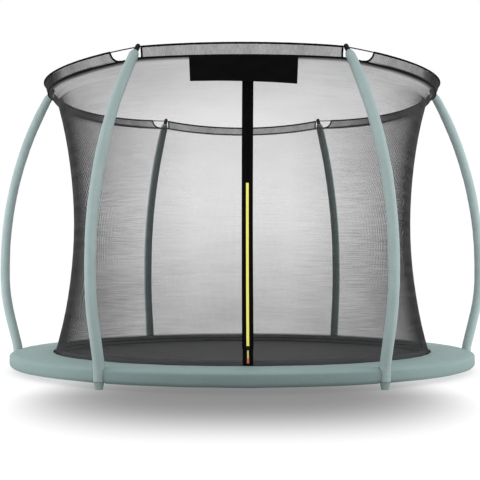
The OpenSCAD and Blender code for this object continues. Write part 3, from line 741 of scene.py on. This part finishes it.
def pole_sleeve(k):
    """Foam tube in a sewn cover: small folds across it, a seam along its outer side, and the cloth
    drawn together under the cap."""
    sides, step = 40, 0.0075
    past_cad = 0.003
    top_bend = ROD_BEND - math.radians(0.8) + past_cad / UPPER_BEND_R
    path = resampled(pole_line(k, FOOT_H + 0.0005, top_bend), step)
    at = lengths(path)[:, None]
    left = at[-1] - at
    a = angles(sides)
    neck_len, taper_len, swell_room = 0.040, 0.24, 0.0008
    radius = SLEEVE_TIP_R + (SLEEVE_NECK_R - SLEEVE_TIP_R) * smooth((left + 0.010) / neck_len)
    radius = radius + (SLEEVE_R - swell_room - SLEEVE_NECK_R) * smooth(left / taper_len)
    place = stacked(at, np.cos(a) * 0.1, np.sin(a) * 0.1)
    bent = 0.35 + 0.65 * smooth((at - 0.1) / 0.5)
    folds = ripple(place, (0.028, 0.09, 0.09), k + 1, 0.0010) * bent
    swell = ripple(place, (0.17, 0.16, 0.16), k + 9, 0.0012)
    seam = -0.0012 * dip(a - math.pi, 0.10)
    pleats = 0.0010 * np.cos(a * 11 + k) * (1 - smooth(left / 0.05))
    tied = -0.0035 * dip(left - 0.012, 0.006)
    closed = 1 - 0.25 * (1 - smooth(left / 0.008))
    turned_in = 1 - 0.14 * (1 - smooth(at / 0.006))
    radius = (radius + folds + swell + seam + pleats + tied) * closed * turned_in
    shell = Shell()
    shell.tube(path, circle(radius, sides), -outward(POLE_AZIMUTH[k]))
    pole = POLES[k]
    finish = SHADED_BACK_SLEEVE if pole.startswith("back") else SLEEVE
    piece = shell.piece(f"sleeve_{pole}", finish, "sleeve_fabric", "frame", [f"pole_sleeve_{pole}"])


# ---- Pad ----


def arc(centre, r, a0, a1, steps):
    """Points of an arc about centre, with radius r or half axes r."""
    a = np.radians(np.linspace(a0, a1, steps))
    return centre + np.stack([np.cos(a), np.sin(a)], 1) * np.asarray(r)


INNER_SIDE_POINTS = 26  # the last points of the pad's section: hem, skirt and underside, inside


def pad_section():
    """The pad's outline from its inner lower edge over the top, down the skirt and back under."""
    hem = (PAD_OUTER - HEM_R, SKIRT_LOW + HEM_R * math.sin(HEM_TURN))
    turn = math.degrees(HEM_TURN)
    low_edge_r = 0.004
    shoulder = (PAD_OUTER - OUTER_EDGE[0], PAD_TOP - OUTER_EDGE[1])
    r = np.linspace(PAD_INNER + INNER_EDGE_R, shoulder[0], 22)[1:-1]
    share = (r - r[0]) / (r[-1] - r[0])
    skirt = np.linspace(shoulder[1], hem[1], 7)[1:-1]
    inner_skirt = np.linspace(hem[1], PAD_LOW - 0.0005, 6)[1:-1]
    under = np.linspace(PAD_OUTER - SKIRT_T, PAD_INNER + low_edge_r, 14)
    return np.concatenate([
        arc((PAD_INNER + low_edge_r, PAD_LOW + low_edge_r), low_edge_r, 270, 180, 4),
        arc((PAD_INNER + INNER_EDGE_R, PAD_TOP - INNER_EDGE_R), INNER_EDGE_R, 180, 90, 7),
        stacked(r, PAD_TOP + PAD_CROWN * np.sin(math.pi * share) ** 0.8),
        arc(shoulder, OUTER_EDGE, 90, 0, 14),
        stacked(PAD_OUTER, skirt),
        arc(hem, HEM_R, 0, -turn, 8),
        arc(hem, HEM_R - SKIRT_T, -turn, 0, 8),
        stacked(PAD_OUTER - SKIRT_T, inner_skirt),
        stacked(under, PAD_LOW),
    ])


def pad_azimuths(notch):
    """Columns for the pad, closer together in the notches round the poles, and how far out the
    pad may reach at each of them."""
    no_limit, step = 9.0, 0.75
    psi = np.radians(np.linspace(-90, 90, 19))
    near = np.degrees(np.arcsin(notch * np.sin(psi) / POLE_BASE_R))
    wall = POLE_BASE_R * np.cos(np.radians(near)) - notch * np.cos(psi)
    half = near[-1]
    beside = half + np.array([0.02, 0.12, 0.3])
    even = np.arange(0.8, 60 - 0.8 * 2, step) + half
    even = even[even < 60 - half - 0.6]
    free = np.concatenate([beside, even, 60 - beside[::-1]])
    columns = np.concatenate([azimuth + np.append(near, free) for azimuth in POLE_AZIMUTH])
    limits = np.tile(np.append(wall, np.full(len(free), no_limit)), len(POLES))
    return np.append(columns, columns[0] + 360), np.append(limits, limits[0])


def pad_cover():
    """The spring pad with its skirt, in one closed cloth. It hugs the sleeves in its notches."""
    notch = SLEEVE_R + 0.0004
    azimuth, wall = pad_azimuths(notch)
    section = pad_section()
    r, z = (np.repeat(c[:, None], len(azimuth), 1) for c in section.T)
    level = np.broadcast_to(azimuth, r.shape)
    place, edge = placed(r, level, z * 3), placed(1.4, level, 0.0)
    to_inner = 1 - smooth((r - PAD_INNER) / 0.06)
    on_top = smooth((z - PAD_LOW) / 0.015)
    down_skirt = smooth((PAD_LOW - z) / 0.05)
    z = z + ripple(place, (0.11, 0.11, 0.3), 2, 0.0014) * on_top
    z = z + ripple(place, (0.045, 0.045, 0.3), 3, 0.0006) * on_top
    r = r + ripple(edge, (0.16, 0.16, 1), 4, 0.0026) * to_inner
    r = r + ripple(edge, (0.09, 0.09, 1), 5, 0.0018) * down_skirt
    z = z + ripple(edge, (0.22, 0.22, 1), 6, 0.0018) * down_skirt
    # Beside the poles the skirt is drawn up to the pad's underside, which leaves the notch open
    from_pole = np.abs(level % 60 - 30) * math.radians(1) * PAD_OUTER
    hung = 0.03 + 0.97 * smooth((from_pole - notch * 0.80) / (notch * 0.35))
    cut_z = PAD_LOW - 0.001
    z = np.where(z < PAD_LOW, cut_z + (z - cut_z) * hung, z)
    inner_side = np.zeros((len(section), 1))
    inner_side[-INNER_SIDE_POINTS:] = SKIRT_T
    r = np.minimum(r, wall - inner_side)
    points = placed(r, level, z)
    across = lengths(section)
    across = np.append(across, across[-1] + 0.005)[:, None]
    shell = Shell()
    cloth = stacked(np.radians(azimuth) * PAD_OUTER, across)
    shell.ring(np.concatenate([points, points[:1]]), cloth)
    piece = shell.piece("pad", PAD, "pad_vinyl", "frame", ["pad_cover", "pad_foam"], sharp=70)


def pad_straps():
    """Elastic loops from the pad's underside round the ring tube, two beside each ring joint."""
    shell = Shell()
    strip = flat_section(width=0.014, thickness=0.0014)
    loop_r, neck, top, beside_joint = RING_TUBE_R + 0.0011, 0.0055, 0.0215, 12
    loop = np.concatenate([[[neck, top]], arc((0, 0), loop_r, 72, -252, 30), [[-neck, top]]])
    for k in range(6):
        for side in (-1, 1):
            azimuth = k * 60 + side * beside_joint
            line = placed(RING_R + loop[:, 0], azimuth, RING_Z + loop[:, 1])
            shell.tube(line, strip, -outward(azimuth))
    shell.piece("elastic_loops", WEBBING, "black_webbing", "frame", ["pad_straps"])


# ---- Mat, webbing, springs ----


def jumping_mat():
    """The woven mat: one thin disc, with the faint waves of cloth under even pull."""
    columns, middle_r, inset = 240, 0.004, 0.0002
    azimuth = np.linspace(0, 360, columns + 1)
    r = np.append(middle_r, np.linspace(0.06, MAT_R, 42))[:, None]
    flat = placed(r, azimuth, 0.0)
    wave = ripple(flat, (0.30, 0.30, 1), 7, 0.0008) * np.clip(1 - r / MAT_R, 0, 1) ** 0.5
    top = placed(r, azimuth, MAT_Z + MAT_T - inset + wave)
    low = placed(r, azimuth, MAT_Z + inset + wave)
    cloth = flat[..., :2]
    shell = Shell()
    shell.solid(np.concatenate([low, top[::-1]]), np.concatenate([cloth, cloth[::-1]]))
    shell.piece("mat_cloth", MAT, "mat_fabric", "mat", ["jumping_mat"], sharp=50)


def mat_webbing():
    """Webbing folded over the mat's edge, and a folded loop for each of the springs' rings."""
    shell = Shell()
    low, high = MAT_Z - WEBBING_T, MAT_Z + MAT_T + WEBBING_T
    middle_r, middle_z = (WEBBING_INNER + WEBBING_OUTER) / 2, (low + high) / 2
    top = np.array([
        (WEBBING_INNER, high),
        (WEBBING_INNER + 0.012, high + 0.0001),
        (WEBBING_OUTER - 0.010, high),
        (WEBBING_OUTER - 0.002, high - 0.0008),
        (WEBBING_OUTER, middle_z),
    ]) - [middle_r, middle_z]
    path = placed(middle_r, np.linspace(0, 360, 361), middle_z)
    shell.tube(path, np.concatenate([top, top[-2::-1] * [1, -1]]), outward(0), closed=True)
    loop_r, loop_reach, loop_high = 1.3035, 0.0052, high + 0.0009
    bend = arc((loop_r, middle_z), (loop_reach, high - middle_z + 0.0005), 90, -90, 9)
    over = np.array([(WEBBING_INNER + 0.006, loop_high), (WEBBING_OUTER - 0.004, loop_high)])
    loop = np.concatenate([over, bend, [0, 2 * middle_z] + over[::-1] * [1, -1]])
    strip = flat_section(width=0.026, thickness=0.0011)
    for i in range(SPRING_COUNT):
        line = placed(loop[:, 0], (i + 0.5) * 360 / SPRING_COUNT, loop[:, 1])
        shell.tube(resampled(line, 0.004), strip, UP)
    shell.piece("mat_edge_webbing", WEBBING, "black_webbing", "mat", ["mat_webbing"], sharp=60)


def spring_line():
    """The wire's line outwards, sidewards and up: a hook, a close coil and the other hook."""
    turns, steps, cone, lead = 28, 12, 0.009, 0.002
    bow = np.insert(arc((0, SPRING_Z), HOOK_R, 180, 0, 9), 1, 0, axis=1)
    tail, joins = [-HOOK_R, 0, SPRING_Z - lead], [HOOK_R, 0, SPRING_Z + 0.0015]
    mat_hook = np.array([[-HOOK_R, 0, MAT_Z - 0.004], tail, *bow[:-1], joins])
    mat_hook = np.append(mat_hook, [[HOOK_R + lead, 0, SPRING_Z]], 0)
    frame_hook = mat_hook[::-1] * [-1, 1, 1]
    frame_hook[-1, 2] = RING_Z + 0.004
    share = np.linspace(0, 1, turns * steps + 1)
    along = COIL_FROM + (COIL_TO - COIL_FROM) * share
    reach = smooth((along - COIL_FROM) / cone) * smooth((COIL_TO - along) / cone) * COIL_R
    turn = share * turns * 2 * math.pi
    coil = stacked(along, reach * np.sin(turn), SPRING_Z + reach * np.cos(turn))
    return np.concatenate([mat_hook + [HOOK_MAT_R, 0, 0], coil, frame_hook + [HOOK_FRAME_R, 0, 0]])


def springs():
    """Tension springs, with one hook in the ring tube and the other on the mat's ring."""
    out, side, z = np.hsplit(spring_line(), 3)
    for i in range(SPRING_COUNT):
        here = (i + 0.5) * 360 / SPRING_COUNT
        shell = Shell()
        shell.tube(facing(here, out, side, z), circle(WIRE_R, 6), sideward(here))
        nodes = [] if i else ["springs"]
        piece = shell.piece(f"spring_{i:02d}", SPRING, "spring_steel", stands_for=nodes)
        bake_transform(piece)


# ---- Net ----

NET_INSIDE = 0.0008  # the cloth's middle lies this far inside the net's outer surface
NET_LOW_Z = MAT_Z + MAT_T + WEBBING_T + 0.002


def net_points(azimuth, first, step, below_flare, flare_rows):
    """The net's cloth at those azimuths from its foot up to the hem. Its rows lie close together at
    the foot, then a step apart from height first up to just below the flare. Its waves fade out
    towards the foot, the hem and the zip."""
    tucked_in, calm_beside_zip = 0.0022, 4  # metres, degrees
    bend = [NET_FOOT_Z, 0.135, 0.155, 0.175, 0.195]
    rows = [*np.linspace(NET_LOW_Z, NET_FOOT_Z, 3)[:-1], *bend]
    z_wall = np.array([*rows, *np.arange(first, FLARE_Z - below_flare, step), FLARE_Z])[:, None]
    r_wall = net_radius(np.maximum(z_wall, NET_FOOT_Z)) - NET_INSIDE
    r_wall = r_wall - tucked_in * (z_wall < NET_FOOT_Z)
    hem_r, hem_z = hem_at(azimuth)
    v = np.linspace(0, 1, flare_rows + 1)[1:, None]
    start = net_radius(FLARE_Z) - NET_T
    r_flare = start + (hem_r - start) * (0.35 * v * v + 0.65 * v)
    z_flare = FLARE_Z + (hem_z - FLARE_Z) * v
    level = np.ones_like(azimuth)
    r, z = np.concatenate([r_wall * level, r_flare]), np.concatenate([z_wall * level, z_flare])
    level = np.broadcast_to(azimuth, r.shape)
    free = smooth((z - NET_FOOT_Z) / 0.3) * smooth((hem_z - z) / 0.25)
    from_zip = np.abs((level - ZIP_AZIMUTH + 180) % 360 - 180)
    beside_zip = np.minimum(1, (from_zip / calm_beside_zip) ** 2)
    here = placed(1.2, level, z)
    waves = ripple(here, (0.13, 0.13, 1.1), 11, 0.0020)
    waves = waves + ripple(here, (0.45, 0.45, 0.6), 12, 0.0035)
    r = r + (waves - 0.0012) * free * beside_zip
    return placed(r, level, z)


def net():
    """The net's cross threads as one sheet."""
    azimuth = np.linspace(0, 360, 721)
    points = net_points(azimuth, first=0.22, step=0.024, below_flare=0.01, flare_rows=6)
    cloth = stacked(np.radians(azimuth) * 1.2, lengths(points[:, 0])[:, None])
    shell = Shell()
    shell.grid(points, cloth, joined=True)
    shell.piece("net_cloth", NET, "net_mesh", stands_for=["net_wall", "net_flare"])


def net_chains():
    """The net's upright chains, knitted cords of flat section in two halves. They are deep and
    narrow, so that the net closes when seen aslant."""
    count, wide, deep = 1812, 0.00032, 0.00105
    for side, name in enumerate(("net_chains_right", "net_chains_left")):
        azimuth = (np.arange(count // 2) + 0.5) * 360 / count + side * 180
        points = net_points(azimuth, first=0.29, step=0.098, below_flare=0.02, flare_rows=2)
        out, across = outward(azimuth) * deep / 2, sideward(azimuth) * wide / 2
        four = np.stack([points + d for d in (out, across, -out, -across, out)], 2)
        cloth = stacked(np.arange(5) * 0.001, lengths(points[:, 0])[:, None])
        shell = Shell()
        for i in range(len(azimuth)):
            shell.grid(four[:, i], cloth, joined=True)
        meets_mat(shell.piece(name, CHAIN, "net_mesh"))


def band_end(s, side, v):
    """Where the band in span s ends at height v, from the hem (0) to the rod (1)."""
    rounded = CUT_CORNER[s][side] * (1 - np.sqrt(1 - (1 - v) ** 2))
    return place_inside(s, side, CUT_W[s][side] - rounded)


def band_point(s, t, w):
    """A point of the band in span s, between the hem (w 0) and the rod (w 1)."""
    hem, rod = hem_points(s, t), rod_points(s, t)
    return hem[0] + (rod[0] - hem[0]) * w, hem[1], hem[2] + (rod[2] - hem[2]) * w


def net_band():
    """The gathered band at the top, in six spans, each ending in a rounded cut-out at the poles."""
    shell, binding = Shell(), Shell()
    rows, columns, low, high = 12, 220, 0.04, 0.90
    strip = flat_section(width=0.013, thickness=0.0032)
    v = np.linspace(0, 1, rows)[:, None]
    w = low + (high - low) * v
    for s in range(6):
        t0, t1 = band_end(s, 0, v), band_end(s, 1, v)
        t = t0 + (t1 - t0) * np.linspace(0, 1, columns)[None]
        r, azimuth, z = band_point(s, t, w)
        place = placed(r, azimuth, z)
        crinkle = ripple(place, (0.016, 0.016, 0.09), 21, 0.0022)
        crinkle = crinkle + ripple(place, (0.05, 0.05, 0.08), 22, 0.0026)
        held = 4 * v * (1 - v)
        points = placed(r + NET_T / 2 + crinkle * (0.35 + 0.65 * held), azimuth, z)
        cloth = np.meshgrid(lengths(points[0]), lengths(points[:, columns // 2]))
        shell.grid(points, np.stack(cloth, -1))
        for side in (0, 1):
            edge = np.linspace(1, 0, 24)
            r, azimuth, z = band_point(s, band_end(s, side, edge), 0.02 + 0.90 * edge)
            line = placed(r + NET_T / 2, azimuth, z)
            binding.tube(resampled(line, 0.004), strip, outward(azimuth[0]))
    shell.piece("net_band_cloth", BAND, "band_fabric", "frame", ["net_band"])
    binding.piece("band_binding", BINDING, "black_webbing", "frame")


def net_hem():
    """Webbing sewn along the lower edge of the band."""
    out, thickness = 0.0031, 0.0022
    azimuth, r, z = around_rim(hem_points, 0.012)
    path = placed(r + out, azimuth, z)
    path[:, 2] += ripple(path, (0.05, 0.05, 1), 31, 0.0006)
    path = np.concatenate([path, path[:1]])
    shell = Shell()
    shell.tube(path, flat_section(HEM_H, thickness), outward(0), closed=True)
    shell.piece("hem_webbing", HEM, "black_webbing", "frame", ["net_hem"], sharp=60)


def rod_tunnel():
    """The black fabric tunnels on the rods, slightly gathered."""
    shell = Shell()
    sides, steps, cloth_t = 14, 230, 0.0025
    a = angles(sides)
    for s in range(6):
        start, end = (place_inside(s, side, CUT_W[s][side]) for side in (0, 1))
        r, azimuth, z = rod_points(s, np.linspace(start, end, steps))
        path = placed(r, azimuth, z)
        place = stacked(lengths(path)[:, None], np.cos(a) * 0.02, np.sin(a) * 0.02)
        radius = ROD_R + cloth_t + ripple(place, (0.022, 0.02, 0.02), s + 40, 0.0004)
        shell.tube(path, circle(radius, sides), outward(azimuth[0]))
    shell.piece("rod_sleeve_cloth", BINDING, "black_webbing", "frame", ["rod_tunnel"])


def net_foot_tape():
    """Tape that holds the net's foot down to the mat's edge."""
    shell = Shell()
    low, high = MAT_Z + MAT_T + WEBBING_T, NET_FOOT_Z - 0.0005
    r = float(net_radius(NET_FOOT_Z)) - 0.0012
    azimuth = np.linspace(0, 360, 361)
    wave = ripple(placed(r, azimuth, 0.0), (0.07, 0.07, 1), 35, 0.0003)
    wave[-1] = wave[0]
    path = placed(r, azimuth, (low + high) / 2 + wave)
    shell.tube(path, flat_section(high - low - 0.001, 0.0018), outward(0), closed=True)
    shell.piece("foot_tape", WEBBING, "black_webbing", "mat", ["net_foot_tape"], sharp=60)


def banner():
    """The bare black banner over the door, with a turned and sewn border."""
    half_angle, centre, border, slant = 12.8, 0.4, 0.018, 0.007
    top_r, top_z = ROD_MID_R[0] - HEM_IN[1] + 0.0068, ROD_Z - ROD_SAG - BAND_H + 0.002
    low_r, low_z = 1.3338, 1.690
    v, u = np.linspace(0, 1, 22)[:, None], np.linspace(-1, 1, 120)[None]
    azimuth = centre + half_angle * u * (1 + 0.008 * v)
    z = top_z + (low_z - top_z) * v - slant * u * v
    r = top_r + (low_r - top_r) * v
    waves = ripple(placed(1.3, azimuth, z), (0.11, 0.11, 0.16), 51, 0.0022) * (0.2 + 0.8 * v)
    width, height = math.radians(2 * half_angle) * top_r, top_z - low_z
    to_edge = np.minimum((1 - np.abs(u)) * width / 2, np.minimum(v, 1 - v) * height)
    raised = 0.0009 * smooth((border - to_edge) / 0.003)
    stitched = -0.0006 * dip(to_edge - border * 0.8, 0.0015)
    front = placed(r + waves + raised + stitched, azimuth, z)
    back = placed(r + waves - 0.0009, azimuth, z)
    cloth = stacked(u * width / 2, v * height)
    shell = Shell()
    sides = ((front, back), (cloth, cloth))
    shell.solid(*(np.concatenate([f, b[:, ::-1], f[:, :1]], 1) for f, b in sides))
    shell.piece("banner_cloth", BANNER, "banner_fabric", "frame", ["banner"], sharp=60)


# ---- Door zip ----


def zip_heights(low, high, step=0.012):
    return np.linspace(low, high, round((high - low) / step) + 1)


def zip_tape():
    """The black tape that carries the zip, with two welts beside the chain."""
    shell = Shell()
    welt_w, welt_t, welt_across = 0.010, 0.0012, 0.0155
    z = zip_heights(ZIP_FOOT_Z, ZIP_TOP_Z)
    narrow = 1 - 0.09 * smooth((SLIDER_Z - z) / 0.004)
    section = flat_section(TAPE_W, TAPE_T)[None] * stacked(1, narrow)[:, None]
    shell.tube(on_zip(z, out=TAPE_OUT + TAPE_T / 2), section, outward(ZIP_AZIMUTH))
    for side in (-1, 1):
        welt = on_zip(z, out=TAPE_OUT + TAPE_T, across=side * welt_across)
        shell.tube(welt, flat_section(welt_w, welt_t), outward(ZIP_AZIMUTH))
    name, slot = "zip_tape_webbing", "black_webbing"
    meets_mat(shell.piece(name, TAPE, slot, stands_for=["zip_tape"], sharp=60))


def tooth():
    """One moulded tooth with chamfered ends, as rings of corner points about its middle."""
    long, high, deep, cut = 0.0072, 0.0021, 0.0021, 0.0005
    corners = np.array([(-1, -1), (1, -1), (1, 1), (-1, 1)])
    rings = []
    for x, inset in ((-1, cut), (-1 + 2 * cut / long, 0), (1 - 2 * cut / long, 0), (1, cut)):
        rings.append(np.insert(corners * [high / 2 - inset, deep / 2 - inset], 0, x * long / 2, 1))
    return np.array(rings)


def zip_chain():
    """The yellow chain: a ribbed tape with two rows of moulded teeth that mesh in the middle."""
    shell = Shell()
    tape_t, pitch, offset, ends = 0.0008, 0.0028, 0.0010, 0.004
    line = on_zip(zip_heights(CHAIN_FOOT_Z, CHAIN_TOP_Z), out=CHAIN_OUT + tape_t / 2)
    shell.tube(line, flat_section(CHAIN_W, tape_t), outward(ZIP_AZIMUTH))
    across, down, out = np.moveaxis(tooth(), -1, 0)
    for i, z in enumerate(np.arange(CHAIN_FOOT_Z + ends, CHAIN_TOP_Z - ends, pitch)):
        way = 1 if i % 2 else -1
        points = on_zip(z, out=CHAIN_OUT + 0.0012 + out, across=way * (across + offset), down=down)
        points = points[::way]
        shell.solid(np.concatenate([points, points[:, :1]], 1))
    meets_mat(shell.piece("zip_teeth", ZIP, "zip_yellow", stands_for=["zip_chain"], sharp=35))


def zip_pull():
    """Ribbon folded round the slider's pin and sewn to itself, with a ribbed moulded tip."""
    ribbon, tip = Shell(), Shell()
    tip_len, tip_w, tip_t, ring, ribbon_t = 0.030, 0.013, 0.0030, 0.0020, 0.0009
    down = np.linspace(0.006, PULL_LEN - tip_len + 0.004, 14)
    behind, front = stacked(ribbon_t / 2, down[::-1]), stacked(-ribbon_t / 2, down)
    path = np.concatenate([behind, arc((0, 0), ring, 60, -240, 18), front])
    line = on_zip(SLIDER_Z, out=PIN_X + path[:, 0], down=PIN_DROP + path[:, 1])
    ribbon.tube(line, flat_section(width=0.0094, thickness=0.0007), outward(ZIP_AZIMUTH))
    d = np.linspace(0, tip_len, 31)
    ribbed = smooth((d - 0.004) / 0.003) * smooth((tip_len - 0.004 - d) / 0.003)
    rib = 0.0003 * np.cos(d * 2 * math.pi / 0.0035) * ribbed
    to_end = np.abs(d - tip_len / 2) / (tip_len / 2 + 0.0006)
    close = np.sqrt(np.clip(1 - to_end**8, 0.02, 1))
    line = on_zip(SLIDER_Z, out=PIN_X, down=PIN_DROP + PULL_LEN - tip_len + d)
    corners = circle(1.0, 24)
    squarish = np.sign(corners) * np.abs(corners) ** 0.45
    section = squarish * stacked((tip_t / 2 + rib) * close, tip_w / 2 * close)[:, None]
    tip.tube(line, section, outward(ZIP_AZIMUTH))
    ribbon.piece("pull_ribbon", PULL, "pull_strap", "zip_pull", ["zip_pull"])
    tip.piece("pull_tip", PULL_TIP, "pull_strap", "zip_pull")


# ---- Stage ----


def stage():
    """A white floor that glows a little, with a painted soft shadow before and behind the object: a
    grey patch where its glow and its colour are lower.
    """
    half, shadow_reach, shadow_middle, shadow_depth = 40, 1.2, 1.62, 1.37
    x, y = np.meshgrid(np.linspace(-half, half, 3), np.linspace(-half, half, 3))
    shell = Shell()
    shell.grid(stacked(x, y, 0.0))
    f = Finish("floor", roughness=1.0, specular=0.0)
    across, along, _ = f.split(shadow_reach, 1, 1)
    # Painted shadow: distance from the grey patch in the floor's glow and colour.
    from_painted_shadow = abs(across) ** 3 + (abs(abs(along) - shadow_middle) / shadow_depth) ** 1.6
    white = from_painted_shadow.spread(0.0, 1.1, interpolation_type="SMOOTHSTEP")
    f.drive("Emission Color", f.tones(white, (0.235,) * 3, (0.62,) * 3))
    f.shader.inputs["Emission Strength"].default_value = 1.0
    shell.piece("floor", f.done(f.tones(white, (0.04,) * 3, (0.38,) * 3)))


def area_light(name, place, aim, size, power):
    data = bpy.data.lights.new(name, "AREA")
    data.shape, data.size, data.energy = "DISK", size, power
    light = added(name, data)
    light.location = place
    light.rotation_euler = (Vector(aim) - Vector(place)).to_track_quat("-Z", "Y").to_euler()


def studio():
    """A white room, a large soft light high behind the trampoline and one at each side."""
    scene = bpy.context.scene
    scene.view_settings.view_transform = "Standard"
    scene.cycles.transparent_max_bounces = 48  # enough for the net's many layers of threads
    scene.world = bpy.data.worlds.new("studio")
    scene.world.use_nodes = True
    background = scene.world.node_tree.nodes["Background"].inputs
    background["Color"].default_value = (1, 1, 1, 1)
    background["Strength"].default_value = 1.0
    area_light("high_behind", (0, 4.5, 6.0), (0, -0.5, 0), size=4.0, power=100)
    for x, name in ((-1, "left_side"), (1, "right_side")):
        area_light(name, (4.2 * x, -1.2, 1.5), (1.5 * x, 0, 0.7), size=2.4, power=52)


def camera():
    """The camera in front of the door, a little above the pad and tilted up."""
    tilt_up, turn = 2.504, 0.128
    data = bpy.data.cameras.new("camera")
    data.lens, data.sensor_width = 67.02, 36
    obj = added("camera", data)
    obj.location = (0, -6.22, 0.5987)
    obj.rotation_euler = (math.radians(90 + tilt_up), 0, math.radians(turn))
    bpy.context.scene.camera = obj


# ---- The whole ----


def main():
    camera()
    dress_cad_nodes()
    for k in range(len(POLES)):
        pole_sleeve(k)
    pad_cover()
    pad_straps()
    jumping_mat()
    mat_webbing()
    springs()
    net()
    net_chains()
    net_band()
    net_hem()
    rod_tunnel()
    net_foot_tape()
    zip_tape()
    zip_chain()
    zip_pull()
    banner()
    meets_mat(bpy.data.objects["net_cloth"])
    stage()
    studio()


main()
